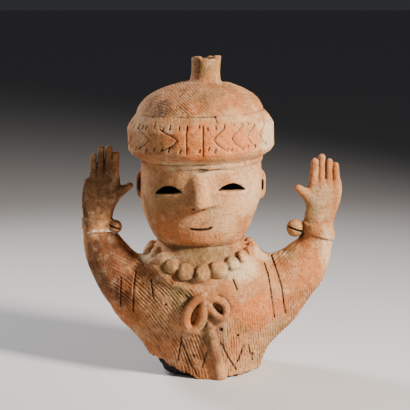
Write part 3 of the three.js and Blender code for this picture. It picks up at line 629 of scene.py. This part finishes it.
def merge_local(d, p, low, high, form, blend, cut=False):
    """Joins or cuts a small form, worked out only near it."""
    near = within(p, low, high)
    if not near.any():
        return
    part = form(pick(p, near))
    if cut:
        d[near] = smooth_max(d[near], -part, blend)
    else:
        d[near] = smooth_min(d[near], part, blend)


def merge_line(d, p, points, radius, blend):
    points = np.array(points)
    radii = np.broadcast_to(radius, len(points))
    low, high = points.min(0) - radii.max() - 6, points.max(0) + radii.max() + 6
    merge_local(d, p, low, high, lambda q: chain(q, points, radii, blend=0.6), blend)


def figure(p):
    """Signed distance to the whole figure, without its fine relief."""
    d = smooth_min(torso(p), head(p), 5.0)
    for spec in ARMS:
        side = spec["side"]
        low, high = sorted((side * 20, side * 175))
        near = within(p, (low, -80, 20), (high, 80, 300))
        q = pick(p, near)
        if not near.any():
            continue
        limb = smooth_min(arm(q, spec), hand(q, spec), 2.0)
        limb = smooth_min(limb, bracelet(q, spec, limb), 0.8)
        limb = smooth_min(limb, bell(q, spec), 1.0)
        d[near] = smooth_min(d[near], limb, 24.0 - 16.0 * fade(q[2], 95.0, 140.0))
    merge_local(d, p, (-110, -100, 240), (90, 100, 360), hat, 2.0)
    merge_local(d, p, (-40, -30, 320), (30, 30, 380), stub, 4.0)
    merge_local(d, p, (-100, -16, 205), (80, 16, 256), ear, 1.5)
    merge_local(d, p, (-36, -95, 195), (12, -50, 255), nose, 4.0)
    merge_line(d, p, LAPEL, LAPEL_HALF_WIDTH, 5.0)
    merge_line(d, p, FLAP, FLAP_RADII, 2.0)
    for loop, radius in LOOPS:
        merge_line(d, p, loop, radius, 1.2)
    merge_line(d, p, KNOT, KNOT_RADIUS, 2.5)
    for place, angle, radius in BEADS:
        low, high = np.array(place) - 1.6 * radius, np.array(place) + 1.6 * radius
        merge_local(d, p, low, high, lambda q: bead(q, place, angle, radius), 1.2)
    d = np.maximum(d, -hollow(p))
    merge_local(d, p, (-70, -95, 205), (50, -30, 245), eye_cut, 1.2, cut=True)
    merge_local(d, p, (-36, -95, 195), (12, -60, 215), nostril_cut, 0.6, cut=True)
    merge_local(d, p, (-90, -70, -10), (0, 40, 34), spall_cut, 0.8, cut=True)
    merge_local(d, p, (0, -70, -10), (80, 20, 10), chip_cut, 0.6, cut=True)
    return np.maximum(d, -p[2])


def hollow(p):
    """Signed distance to the room inside the walls."""
    d = np.minimum(torso(p, WALL), head(p, WALL))
    u, v, w = hat_frame(p)
    d = np.minimum(d, polygon(np.hypot(u - HEAD_OFFSET, v), w, HAT_HOLLOW_OUTLINE))
    bore = np.maximum(np.hypot(p[0] - STUB_X, p[1]) - STUB_BORE_RADIUS, BAND_TOP_Z - p[2])
    d = np.minimum(d, bore)
    for spec in ARMS:
        d = smooth_min(d, arm(p, spec, ARM_WALL), 6.0)
    return d


# Fine relief, pressed into the clay from the outside
COMB_DEPTH = 0.9
COMB_PITCH = 3.6
FINE_PITCH = 2.9
RISING_PITCH = 2.75
PUNCH_PITCH = 7.1  # degrees between the marks pressed into the band
PUNCH_LENGTH = 3.6
LINE_HALF_WIDTH = 0.75
LINE_DEPTH = 1.5


def waves(p, length, seed, count=7):
    """A smooth wandering value between about -1 and 1, from sines in scattered directions."""
    chance = np.random.default_rng(seed)
    total = 0.0
    for _ in range(count):
        way = chance.normal(size=3)
        way = way / np.linalg.norm(way) * 2 * math.pi / length * chance.uniform(0.7, 1.4)
        total = total + np.sin(p[0] * way[0] + p[1] * way[1] + p[2] * way[2] + chance.uniform(0, 6.28))
    return total / (0.62 * count)


def stroke(u, w, route, half_width=LINE_HALF_WIDTH, depth=LINE_DEPTH):
    """Depth of a tool's line drawn through the points of a route on a flat sheet."""
    best = np.full_like(u, 1e9)
    for (ax, ay), (bx, by) in zip(route[:-1], route[1:]):
        ex, ey = bx - ax, by - ay
        t = np.clip(((u - ax) * ex + (w - ay) * ey) / (ex * ex + ey * ey), 0.0, 1.0)
        best = np.minimum(best, (u - ax - ex * t) ** 2 + (w - ay - ey * t) ** 2)
    return depth * np.exp(-best / half_width ** 2)


def teeth(phase):
    """The scraped furrows of a comb, narrower than the ridges between them."""
    return (0.5 + 0.5 * np.cos(2 * math.pi * phase)) ** 1.6


# Lines cut into the robe, as [x, z] points on the chest
SEAMS = [
    [(-86.8, 123.2), (-88.8, 109.4), (-89.7, 77.6)],
    [(-104.1, 116.1), (-104.7, 83.4)],
    [(-68.8, 117.8), (-65.8, 98.4)],
    [(60.8, 133.7), (65, 121.7), (67.7, 105.6), (72.1, 73.3)],
    [(70.7, 136.4), (75.8, 123.3), (80.2, 109.2), (85.4, 75.3)],
    [(24.4, 121.2), (28.9, 110)],
]
HEM = [
    [(-33.4, 54.9), (-38.4, 22.9)],
    [(-34.7, 47.1), (-27.9, 30.7), (-23.3, 19.3), (-15.3, 2.9)],
    [(-4.9, 35.4), (-10.7, 14.7)],
    [(11.1, 46.7), (18.1, 29.4), (28.7, 9.8)],
    [(36.5, 40.6), (33.2, 28.9), (29.8, 20.1)],
    [(42.3, 41), (47.6, 18.8)],
]
# Round pits in the robe, as [x, z, radius]
PITS = [(11, 63.3, 1.6), (47.4, 27.3, 1.5), (-52, 92, 1.1), (-20, 30, 1.0), (30, 55, 1.1)]


def robe_combing(p):
    """The comb strokes of the robe, broken where the surface is worn."""
    x, y, z = p
    wander = waves(p, 34, 11)
    broken = fade(waves(p, 17, 12) + 0.55 * waves(p, 7, 13), -0.75, 0.15)
    # the figure's right: shallow arcs that steepen towards the middle
    reach = np.hypot(x + 175.0, z + 17.0)
    arcs = teeth(reach / COMB_PITCH + 0.3 * wander)
    right = arcs * fade(-x, -4.0, 6.0) * fade(x, -128.0, -104.0) \
        * fade(168.0 - z, 0.0, 40.0)
    # the figure's left: fine lines that rise towards the shoulder, with upright ones below them
    turn = math.radians(43)
    rising = teeth((z * math.cos(turn) - x * math.sin(turn)) / RISING_PITCH + 0.3 * wander)
    upright = teeth((x + 0.08 * z) / FINE_PITCH + 0.3 * wander)
    border = fade(z - 0.35 * x + 6.0 * wander, 62.0, 76.0)
    sheen = fade(np.hypot(x - 33.0, z - 134.0) + 8.0 * wander, 16.0, 34.0)
    left = (rising * border * sheen + upright * (1 - border)) * fade(x, -2.0, 8.0) \
        * fade(150.0 - z, -12.0, 6.0)
    front = (right + 0.8 * left) * fade(-y, -12.0, 6.0)
    back = 0.6 * teeth((x + 0.12 * z) / COMB_PITCH + 0.4 * wander) * fade(y, -4.0, 12.0) \
        * fade(138.0 - z, 0.0, 20.0)
    return COMB_DEPTH * (front + back) * (0.2 + 0.8 * broken)


def robe_lines(p):
    """Seams, hem and pits on the front of the robe."""
    x, y, z = p
    lines = sum(stroke(x, z, route) for route in SEAMS)
    lines = lines + sum(stroke(x, z, route, half_width=0.8, depth=1.3) for route in HEM)
    for px, pz, radius in PITS:
        lines = lines + stroke(x, z, [(px, pz), (px + 0.5, pz + 0.5)], radius, depth=2.2)
    return lines * (y < 0)


# Band strokes, as [bearing in degrees, share of the band's height]
BAND_STROKES = [[(-10.4, 0.87), (-10.8, 0.3)], [(2.3, 0.86), (1.4, 0.25)], [(13.4, 1.02), (14.1, 0.9)]]
for first, pitch, count, reach in ((10.0, 14.2, 4, 9.0), (-17.4, -25.3, 3, -15.5)):
    for i in range(count):
        tip = first + i * pitch
        BAND_STROKES.append([(tip + reach, 0.79), (tip + 0.25 * reach, 0.66), (tip, 0.58),
                             (tip + 0.3 * reach, 0.46), (tip + 0.95 * reach, 0.35)])


def band_marks(p):
    """Strokes and two rows of pressed marks on the band."""
    x, y, z = hat_frame(p)
    bearing = np.degrees(np.arctan2(x - HEAD_OFFSET, -y))
    around = np.radians(bearing) * BAND_RADIUS
    lines = np.zeros_like(x)
    for route in BAND_STROKES:
        mapped = [(math.radians(a) * BAND_RADIUS, BAND_Z + h * BAND_HEIGHT) for a, h in route]
        lines += stroke(around, z, mapped, half_width=0.7, depth=1.3)
    chance = np.random.default_rng(21)
    for level, lean in ((0.83, 0.05), (0.37, 0.45)):
        for i in range(int(360 / PUNCH_PITCH)):
            turn = -180.0 + (i + 0.6 * chance.uniform(-0.5, 0.5)) * PUNCH_PITCH
            height = BAND_Z + (level + 0.03 * chance.uniform(-1, 1)) * BAND_HEIGHT
            length = PUNCH_LENGTH * chance.uniform(0.7, 1.1)
            u0 = math.radians(turn) * BAND_RADIUS
            near = (np.abs(around - u0) < 5.0) & (np.abs(z - height) < 6.0)
            if near.any():
                across, up = lean * length / 2, length / 2
                route = [(u0 - across, height - up), (u0 + across, height + up)]
                lines[near] += stroke(around[near], z[near], route, half_width=0.8, depth=1.5)
    return lines


def crown_combing(p):
    """Comb strokes that fall across the front of the crown and ring the rest of it."""
    x, y, z = hat_frame(p)
    crown = fade(z, BAND_TOP_Z + 3.0, BAND_TOP_Z + 6.0) \
        * fade(CROWN_TOP_Z + 2.0 - z, 0.0, 3.0)
    wander = waves(p, 40, 31)
    turn = math.radians(47)
    slanted = x * math.sin(turn) + z * 1.25 * math.cos(turn)
    falling = teeth(slanted / FINE_PITCH + 0.3 * wander)
    ringed = teeth((z + 0.18 * x) / FINE_PITCH + 0.3 * wander)
    middle = fade(x + 6.0 * wander, -52.0, -40.0) * fade(-x - 6.0 * wander, -14.0, 0.0)
    facing = 0.35 + 0.65 * fade(-y, -20.0, 10.0)
    comb = (falling * middle + 0.6 * ringed * (1 - middle)) * facing
    broken = 0.35 + 0.65 * fade(waves(p, 15, 32), -0.7, 0.2)
    return COMB_DEPTH * 0.85 * comb * crown * broken


def band_creases(p):
    """The uneven joints above and below the band."""
    z = hat_frame(p)[2]
    above = 1.1 * np.exp(-((z - BAND_TOP_Z - 1.2) / 0.9) ** 2) * (0.6 + 0.4 * waves(p, 30, 33))
    below = np.exp(-((z - BAND_Z - 1.5) / 0.9) ** 2) * fade(waves(p, 34, 34), -0.7, 0.1)
    return above, below


# Lines on the face, as [across, height] points in its own frame
MOUTH = [(-12.4, 180.6), (-6.5, 179.4), (1.0, 179.0), (7.0, 179.4), (10.0, 180.8)]
BROW_CREASE = [(4, 246.5), (20, 247), (42, 243)]
CHEEK_CREASE = [(-30, 181.5), (-19, 179.5)]
NOSTRIL_PITS = [(-8.4, 205.2), (1.6, 203.6)]
LID = [(-15, 4.5), (0, 6.2), (14, 8.2)]  # across and down from the middle of an eye


def face_relief(p):
    """Mouth, creases, raised lower lids and faint wiping marks."""
    u, v, w = head_frame(p)
    lines = stroke(u, w, MOUTH, 1.0, MOUTH_DEPTH)
    for place in NOSTRIL_PITS:
        lines += stroke(u, w, [place, (place[0] + 0.8, place[1] + 0.3)], half_width=1.2, depth=2.2)
    lines += stroke(u, w, BROW_CREASE, half_width=0.7, depth=0.7)
    lines += stroke(u, w, CHEEK_CREASE, half_width=1.3, depth=0.5)
    for side in (-1, 1):
        lid = [(side * (EYE_SPACING / 2 + x), EYE_Z - z) for x, z in LID]
        lines -= stroke(u, w, lid, half_width=1.6, depth=0.8)
    upright = teeth(u / 2.4 + 0.5 * waves(p, 30, 43))
    lines += 0.16 * upright * fade(waves(p, 20, 44), -0.3, 0.6)
    level = teeth(w / 3.4 + 0.5 * waves(p, 40, 41))
    lines += 0.3 * level * fade(waves(p, 24, 42), -0.2, 0.7)
    return lines * fade(-v, 20.0, 34.0)


def ground(p):
    """The hand-worked unevenness of the whole surface, and its scattered pits."""
    lumps = 0.6 * waves(p, 46, 51) + 0.36 * waves(p, 19, 52) + 0.16 * waves(p, 7.5, 53)
    pits = fade(waves(p, 5.2, 54, 9) + 0.5 * waves(p, 21, 55), 1.25, 1.75)
    return lumps + 0.9 * pits


# The mended crack across the right wrist, as [x, z] points
CRACK = [(-143.0, 167.0), (-134.0, 169.5), (-124.0, 170.8), (-116.0, 168.0), (-110.5, 164.0)]


def furrows(p):
    """Depth of the tool marks alone at each point, in mm."""
    x, y, z = p
    depth = np.zeros_like(x)
    beads, bow = bead_gap(p), bow_gap(p)
    clear = fade(np.minimum(beads, bow), 0.0, 1.5)
    ring = np.where(z > 120.0, fade(np.hypot(x - HEAD_OFFSET, y), 57.0, 63.0), 1.0)
    combed = fade(beads, 3.0, 11.0) * ring
    robe = (z < 172) & (ring > 0)
    q = pick(p, robe)
    depth[robe] += (robe_combing(q) * combed[robe] + robe_lines(q)) * clear[robe]
    hat_part = (z > BAND_Z - 6) & (np.abs(x - HEAD_OFFSET) < 90) & (z < CROWN_TOP_Z + 4)
    hat_part &= np.hypot(x - STUB_X, y) > STUB_RADIUS + 3
    q = pick(p, hat_part)
    above, below = band_creases(q)
    depth[hat_part] += band_marks(q) + crown_combing(q) + above + below
    face = (np.abs(x - HEAD_OFFSET) < 66) & (y < -20) & (z > 165) & (z <= BAND_Z + 2)
    depth[face] += face_relief(pick(p, face))
    return depth


def bead_gap(p):
    gap = np.full_like(p[0], 30.0)
    for place, _, radius in BEADS:
        gap = np.minimum(gap, np.sqrt(sum((c - o) ** 2 for c, o in zip(p, place))) - radius)
    return gap


def bow_gap(p):
    gap = np.full_like(p[0], 30.0)
    near = within(p, (-45, -90, -10), (30, -40, 115))
    q = pick(p, near)
    for line, radius in LOOPS + [(FLAP, FLAP_RADII)]:
        gap[near] = np.minimum(gap[near], chain(q, line, np.broadcast_to(radius, len(line))))
    return gap


def at_points(points, detailed=True):
    """Signed distance at each point, with the relief near the surface where detailed."""
    p = tuple(np.ascontiguousarray(points[:, i], dtype=np.float32) for i in range(3))
    d = figure(p)
    if detailed:
        near = np.abs(d) < DETAIL_REACH
        q = pick(p, near)
        outside = fade(hollow(q), 0.5, 3.0)
        d[near] += (ground(q) + furrows(q)) * outside
        d = np.maximum(d, -p[2])
    return d


def surface_cells():
    """Indices of the finest grid cells that may hold the surface, found by halving coarse ones."""
    size = CELL * 2 ** LEVELS
    counts = np.ceil((HIGHEST - LOWEST) / size).astype(int)
    cells = np.stack(np.meshgrid(*(np.arange(n) for n in counts), indexing="ij"), -1).reshape(-1, 3)
    for level in range(LEVELS, -1, -1):
        size = CELL * 2 ** level
        distance = at_points(LOWEST + (cells + 0.5) * size, detailed=level < 2)
        reach = HALF_DIAGONAL * size * 1.5 + (2.0 if level else 1.0)
        cells = cells[np.abs(distance) < reach]
        if level:
            cells = (cells[:, None, :] * 2 + CUBE_CORNERS).reshape(-1, 3)
    return cells


def surface_mesh():
    """Vertices and quads of the surface, one vertex in each grid cell that it crosses."""
    cells = surface_cells()
    shape = cells.max(0) + 3
    known = np.zeros(shape, dtype=bool)
    for corner in CUBE_CORNERS:
        known[tuple((cells + corner).T)] = True
    nodes = np.argwhere(known)
    values = np.zeros(shape, dtype=np.float32)
    values[known] = at_points(LOWEST + nodes * CELL)
    sums, quads = [], []
    strides = np.array([shape[1] * shape[2], shape[2], 1])
    for axis in range(3):
        step, u, v = AXES[axis], AXES[axis - 2], AXES[axis - 1]
        start = tuple(slice(0, n - s) for n, s in zip(shape, step))
        end = tuple(slice(s, n) for n, s in zip(shape, step))
        a, b = values[start], values[end]
        crossing = known[start] & known[end] & ((a < 0) != (b < 0))
        index = np.argwhere(crossing)
        low, high = a[crossing], b[crossing]
        point = index.astype(np.float64)
        point[:, axis] += low / (low - high)
        around = [index - u - v, index - v, index, index - u]
        ids = np.stack([(cell * strides).sum(1) for cell in around], 1)
        sums += [(ids[:, i], point) for i in range(4)]
        quads.append(np.where((low < 0)[:, None], ids, ids[:, ::-1]))
    ids = np.concatenate([pair[0] for pair in sums])
    points = np.concatenate([pair[1] for pair in sums])
    keys, place = np.unique(ids, return_inverse=True)
    count = np.bincount(place)
    vertices = np.stack([np.bincount(place, points[:, i]) / count for i in range(3)], 1)
    faces = np.searchsorted(keys, np.concatenate(quads))
    return LOWEST + vertices * CELL, faces


def gradients(points, step=0.35):
    """Unit normals of the surface, from differences of the distance."""
    normals = np.empty_like(points)
    for axis in range(3):
        offset = AXES[axis] * step
        normals[:, axis] = at_points(points + offset) - at_points(points - offset)
    return normals / (np.linalg.norm(normals, axis=1, keepdims=True) + 1e-9)


def build_mesh(name, vertices, faces):
    mesh = bpy.data.meshes.new(name)
    mesh.vertices.add(len(vertices))
    mesh.vertices.foreach_set("co", (vertices * MM).astype(np.float32).ravel())
    mesh.loops.add(faces.size)
    mesh.loops.foreach_set("vertex_index", faces.astype(np.int32).ravel())
    mesh.polygons.add(len(faces))
    mesh.polygons.foreach_set("loop_start", np.arange(0, faces.size, faces.shape[1], dtype=np.int32))
    mesh.update(calc_edges=True)
    mesh.validate()
    return mesh


def clean_mesh(mesh):
    """Keeps the largest connected shell and closes the holes in it."""
    work = bmesh.new()
    work.from_mesh(mesh)
    seen, groups = set(), []
    for start in work.verts:
        if start in seen:
            continue
        seen.add(start)
        group = [start]
        for vertex in group:
            for edge in vertex.link_edges:
                other = edge.other_vert(vertex)
                if other not in seen:
                    seen.add(other)
                    group.append(other)
        groups.append(group)
    groups.sort(key=len)
    bmesh.ops.delete(work, geom=[v for group in groups[:-1] for v in group], context="VERTS")
    bmesh.ops.holes_fill(work, edges=[e for e in work.edges if e.is_boundary], sides=0)
    work.to_mesh(mesh)
    work.free()


def sculpt_figure():
    """The figure's mesh, drawn onto the exact surface once and then thinned out."""
    vertices, faces = surface_mesh()
    normals = gradients(vertices)
    vertices = vertices - normals * np.clip(at_points(vertices), -CELL, CELL)[:, None]
    vertices[:, :2] += MODEL_SHIFT
    mesh = build_mesh("haniwa_clay", vertices, faces)
    piece = bpy.data.objects.new("haniwa_clay", mesh)
    bpy.context.collection.objects.link(piece)
    reduce = piece.modifiers.new("reduce", "DECIMATE")
    reduce.ratio = min(1.0, TRIANGLES / (2 * len(faces)))
    graph = bpy.context.evaluated_depsgraph_get()
    finished = bpy.data.meshes.new_from_object(piece.evaluated_get(graph))
    piece.modifiers.clear()
    piece.data = finished
    finished.name = "haniwa_clay"
    clean_mesh(finished)
    finished.shade_smooth()
    return piece


def srgb(red, green, blue):
    """A screen colour from 0 to 255 as linear light."""
    return tuple(((c / 255 + 0.055) / 1.055) ** 2.4 for c in (red, green, blue)) + (1.0,)


# Tints of the clay, as colour and how far it covers at full weight. The dark one is also laid inside the
# hollows as painted shade.
TINTS = {
    "orange": (srgb(208, 114, 50), 0.75),
    "olive": (srgb(142, 118, 74), 0.8),
    "pale": (srgb(218, 192, 150), 0.75),
    "dark": (srgb(84, 46, 28), 0.85),
}

# Patches of each tint on the clay, as centre, reach along each axis and strength. Some are painted shade
# and some painted highlight, as noted in the lists.
PATCHES = {
    "orange": [
        ((2, -84, 280), (58, 45, 24), 0.9), ((-62, -62, 280), (22, 30, 18), 0.35),
        ((-20, -66, 318), (11, 15, 9), 0.6), ((24, -52, 325), (16, 20, 10), 0.6),
        ((-48, -48, 178), (26, 30, 17), 0.5), ((-14, -60, 167), (40, 22, 11), 0.55),
        ((28, -55, 212), (16, 25, 18), 0.4), ((46, -48, 82), (40, 34, 22), 0.95),
        ((112, -16, 128), (24, 36, 32), 0.7), ((-98, -26, 96), (34, 34, 42), 0.6),
        ((-58, -46, 30), (30, 34, 30), 0.6), ((-20, -72, 82), (16, 12, 24), 0.45),
        ((22, -54, 45), (14, 20, 26), 0.6), ((135, -8, 232), (14, 20, 26), 0.4),
        ((0, 60, 90), (70, 30, 50), 0.4),
    ],
    "olive": [
        # Painted shade: the patches at (-52, -54, 216) on the figure's right cheek, (-6, -66, 62) on the
        # flap's side away from the light and (-130, -6, 216) on the figure's right hand. The rest are
        # olive clay.
        ((-8, -58, 327), (20, 22, 13), 0.5), ((-6, 0, 352), (24, 24, 26), 0.75),
        ((-52, -54, 216), (24, 26, 22), 0.6), ((1, -68, 205), (5, 14, 28), 0.7),
        ((-12, -54, 148), (54, 34, 11), 0.9), ((-12, -62, 133), (66, 50, 13), 0.6),
        ((-36, -60, 104), (16, 20, 20), 0.9), ((-62, -52, 112), (14, 20, 20), 0.45),
        ((-6, -66, 62), (9, 14, 26), 0.8), ((28, -60, 66), (12, 16, 14), 0.45),
        ((74, -22, 62), (18, 34, 24), 0.6), ((60, -20, 28), (24, 34, 20), 0.5),
        ((-130, -6, 216), (34, 36, 62), 0.65), ((114, -12, 192), (12, 18, 24), 0.95),
        ((97, -10, 170), (13, 16, 13), 0.9), ((84, -24, 146), (24, 24, 12), 0.6),
        ((20, 60, 220), (50, 40, 40), 0.5),
    ],
    "pale": [
        # Painted highlight: the patches at (66, -14, 142) on the top of the shoulder, (134, -10, 150) on
        # the outer edge of the arm and (14, -62, 52) on the edge of the flap, all on the side towards
        # the light. The rest are pale clay.
        ((-12, -70, 250), (64, 30, 10), 0.55), ((66, -40, 284), (12, 44, 26), 0.8),
        ((-78, -30, 284), (12, 44, 26), 0.4), ((-12, 0, 306), (90, 90, 4), 0.55),
        ((20, -60, 196), (24, 26, 26), 0.4), ((42, -40, 215), (20, 40, 40), 0.5),
        ((34, -50, 131), (24, 28, 15), 0.85), ((66, -14, 142), (28, 22, 9), 0.8),
        ((-72, -20, 138), (18, 18, 10), 0.8), ((134, -10, 150), (12, 30, 32), 0.6),
        ((128, -12, 205), (16, 22, 26), 0.5), ((14, -62, 52), (4, 14, 34), 0.6),
    ],
    "dark": [
        # Painted shade: the patches at (-116, -28, 124), (-112, 0, 158) and (-130, -2, 215) on the
        # figure's right arm and hand, (-76, -50, 84) and (-40, -44, 38) on that side of the torso, all
        # away from the light, and (-12, -50, 150) and (-12, -44, 157) under the chin. The rest are dark
        # clay and stains.
        ((-6, -74, 86), (34, 16, 26), 0.34), ((-116, -28, 124), (38, 42, 48), 0.85),
        ((4, -66, 48), (14, 24, 50), 0.7), ((-40, -44, 38), (44, 36, 44), 0.5),
        ((-76, -50, 84), (40, 34, 36), 0.3), ((-12, -30, 330), (80, 70, 24), 0.36),
        ((-6, 0, 356), (26, 26, 18), 0.36), ((-12, -50, 150), (56, 40, 13), 0.42),
        ((126, -12, 204), (22, 24, 52), 0.34), ((-52, -50, 314), (15, 30, 13), 0.7),
        ((-130, -2, 215), (36, 36, 66), 0.75), ((-112, 0, 158), (24, 30, 26), 0.45),
        ((-12, -44, 157), (54, 34, 4), 0.4),
    ],
}


def patch_weights(p):
    """How strongly each tint shows at each point, with uneven edges."""
    weights = {name: np.zeros_like(p[0]) for name in TINTS}
    uneven = 0.22 * waves(p, 30, 61) + 0.16 * waves(p, 11, 62)
    for name, patches in PATCHES.items():
        for centre, reach, strength in patches:
            away = np.sqrt(sum(((c - o) / r) ** 2 for c, o, r in zip(p, centre, reach)))
            weight = strength * (1 - fade(away + uneven, 0.55, 1.25))
            weights[name] = np.maximum(weights[name], weight)
    # Painted shade: the dark tint is laid over the surfaces inside the hollow.
    inside = 1 - fade(hollow(p), 0.0, 4.0)
    weights["dark"] = np.maximum(weights["dark"], 0.7 * inside)
    # Painted shade: the spalled patch at the rim is coloured near-black.
    broken = fade(-torso(p), 1.4, 3.4) * (1 - fade(p[2], 24.0, 34.0)) * (p[0] < -20)
    weights["spall_shade"] = broken
    return weights


def crevice_shading(mesh, p):
    """How shut in each vertex is, from the room that is left a little way off the surface, which sets
    the painted shade in crevices and hollows.
    """
    normals = np.empty(len(p[0]) * 3, dtype=np.float32)
    mesh.vertex_normals.foreach_get("vector", normals)
    normals = normals.reshape(-1, 3).T
    shut = np.zeros_like(p[0])
    for reach, share in ((2.5, 0.55), (8.0, 0.45)):
        room = figure(tuple(c + reach * n for c, n in zip(p, normals)))
        shut += share * np.clip(1.0 - room / reach, 0.0, 1.0)
    return shut


def add_attributes(mesh):
    co = np.empty(len(mesh.vertices) * 3, dtype=np.float32)
    mesh.vertices.foreach_get("co", co)
    co = co.reshape(-1, 3) / MM
    co[:, :2] -= MODEL_SHIFT
    p = tuple(np.ascontiguousarray(co[:, i]) for i in range(3))
    outside = fade(hollow(p), 0.5, 3.0)
    values = patch_weights(p)
    # Painted shade in crevices and inside the hollows.
    values["crevice_shade"] = crevice_shading(mesh, p)
    values["crack"] = stroke(p[0], p[2], CRACK, 0.55, 0.8) * (p[1] < 0)
    # Painted shade in the tool's furrows, lines and pits, by their depth.
    values["furrow_shade"] = np.clip(furrows(p) / 1.5, 0.0, 1.0) * outside
    for name, value in values.items():
        mesh.attributes.new(name, "FLOAT", "POINT").data.foreach_set("value", value.astype(np.float32))


class Nodes:
    """Short ways to add and wire the nodes of one material."""

    def __init__(self, name):
        self.material = bpy.data.materials.new(name)
        self.material.use_nodes = True
        self.tree = self.material.node_tree
        self.shader = self.tree.nodes["Principled BSDF"]
        self.link = self.tree.links.new
        self.place = self.node("TexCoord").outputs["Object"]

    def node(self, kind):
        return self.tree.nodes.new("ShaderNode" + kind)

    def noise(self, scale, detail=4.0, roughness=0.55):
        node = self.node("TexNoise")
        node.inputs["Scale"].default_value = scale
        node.inputs["Detail"].default_value = detail
        node.inputs["Roughness"].default_value = roughness
        self.link(self.place, node.inputs["Vector"])
        return node.outputs[0]

    def attribute(self, name):
        node = self.node("Attribute")
        node.attribute_name = name
        return node.outputs["Fac"]

    def ramp(self, value, low, high, to_low=0.0, to_high=1.0):
        node = self.node("MapRange")
        node.interpolation_type = "SMOOTHSTEP"
        ends = {"From Min": low, "From Max": high, "To Min": to_low, "To Max": to_high}
        for socket, number in ends.items():
            node.inputs[socket].default_value = number
        self.link(value, node.inputs["Value"])
        return node.outputs[0]

    def add(self, a, b):
        node = self.node("Math")
        node.operation = "ADD"
        self.link(a, node.inputs[0])
        self.link(b, node.inputs[1])
        return node.outputs[0]

    def mix(self, factor, a, b):
        node = self.node("Mix")
        node.data_type = "RGBA"
        self.link(factor, node.inputs[0])
        for socket, value in ((node.inputs[6], a), (node.inputs[7], b)):
            if isinstance(value, tuple):
                socket.default_value = value
            else:
                self.link(value, socket)
        return node.outputs[2]


def clay_material():
    """Fired clay: mottled, stained in patches and dusty on its ridges, with painted shade in its
    furrows, crevices and hollows, on the spalled patch and in some patches, and painted highlight in a
    few patches.
    """
    n = Nodes("terracotta")
    colour = n.mix(n.ramp(n.noise(26.0), 0.36, 0.64), srgb(170, 108, 62), srgb(198, 144, 96))
    speckle = n.noise(110.0, 6.0, 0.7)
    for name, (tint, reach) in TINTS.items():
        uneven = n.add(n.attribute(name), n.ramp(speckle, 0.3, 0.7, -0.2, 0.2))
        colour = n.mix(n.ramp(uneven, 0.05, 1.05, 0.0, reach), colour, tint)
    grime = n.ramp(n.noise(260.0, 4.0, 0.75), 0.48, 0.7, 0.0, 0.6)
    colour = n.mix(grime, colour, srgb(104, 70, 44))
    dust = n.ramp(n.noise(75.0, 7.0, 0.75), 0.5, 0.72, 0.0, 0.5)
    colour = n.mix(dust, colour, srgb(218, 184, 146))
    # Painted shade in the tool's furrows, lines and pits.
    colour = n.mix(n.ramp(n.attribute("furrow_shade"), 0.08, 1.0, 0.0, 0.66), colour, srgb(84, 50, 31))
    # Painted shade in crevices and inside the hollows.
    colour = n.mix(n.ramp(n.attribute("crevice_shade"), 0.22, 0.85, 0.0, 0.85), colour, srgb(58, 36, 24))
    # Painted shade: the spalled patch at the rim is coloured near-black.
    colour = n.mix(n.attribute("spall_shade"), colour, srgb(38, 35, 41))
    colour = n.mix(n.attribute("crack"), colour, srgb(250, 236, 212))
    n.link(colour, n.shader.inputs["Base Color"])
    n.link(n.ramp(speckle, 0.3, 0.7, 0.78, 0.96), n.shader.inputs["Roughness"])
    n.shader.inputs["Specular IOR Level"].default_value = 0.25
    bump = n.node("Bump")
    bump.inputs["Strength"].default_value = 0.9
    bump.inputs["Distance"].default_value = 0.0018
    n.link(n.add(n.noise(430.0, 5.0, 0.65), speckle), bump.inputs["Height"])
    n.link(bump.outputs[0], n.shader.inputs["Normal"])
    return n.material


def add_camera():
    camera = bpy.data.cameras.new("camera")
    camera.sensor_width = SENSOR_WIDTH
    camera.lens = FOCAL_PIXELS / IMAGE_PIXELS * SENSOR_WIDTH
    camera.clip_end = 20
    holder = bpy.data.objects.new("camera", camera)
    holder.location = TARGET + Vector((0, -math.cos(ELEVATION), math.sin(ELEVATION))) * DISTANCE
    holder.rotation_euler = (math.pi / 2 - ELEVATION, 0, 0)
    bpy.context.collection.objects.link(holder)
    bpy.context.scene.camera = holder


def add_light(name, location, size, power, spread, colour):
    light = bpy.data.lights.new(name, "AREA")
    light.spread = math.radians(spread)
    light.size = size
    light.energy = power
    light.color = colour
    holder = bpy.data.objects.new(name, light)
    holder.location = location
    aim = Vector((0, 0, 0.2)) - Vector(location)
    holder.rotation_euler = aim.to_track_quat("-Z", "Y").to_euler()
    bpy.context.collection.objects.link(holder)


def add_floor():
    bpy.ops.mesh.primitive_plane_add(size=FLOOR_SIZE, location=(0, 0, 0))
    floor = bpy.context.object
    floor.name = "floor"
    material = bpy.data.materials.new("floor")
    material.use_nodes = True
    shader = material.node_tree.nodes["Principled BSDF"]
    shader.inputs["Base Color"].default_value = (0.62, 0.6, 0.6, 1)
    shader.inputs["Roughness"].default_value = 0.7
    floor.data.materials.append(material)


def add_lights():
    world = bpy.data.worlds.new("studio")
    world.use_nodes = True
    background = world.node_tree.nodes["Background"]
    background.inputs["Color"].default_value = (0.6, 0.62, 0.68, 1)
    background.inputs["Strength"].default_value = 0.05
    bpy.context.scene.world = world
    for name, values in LIGHTS.items():
        add_light(name, *values)


add_camera()
add_floor()
add_lights()
piece = sculpt_figure()
add_attributes(piece.data)
piece.data.materials.clear()
piece.data.materials.append(clay_material())
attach(piece, "root")
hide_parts("haniwa_figure")
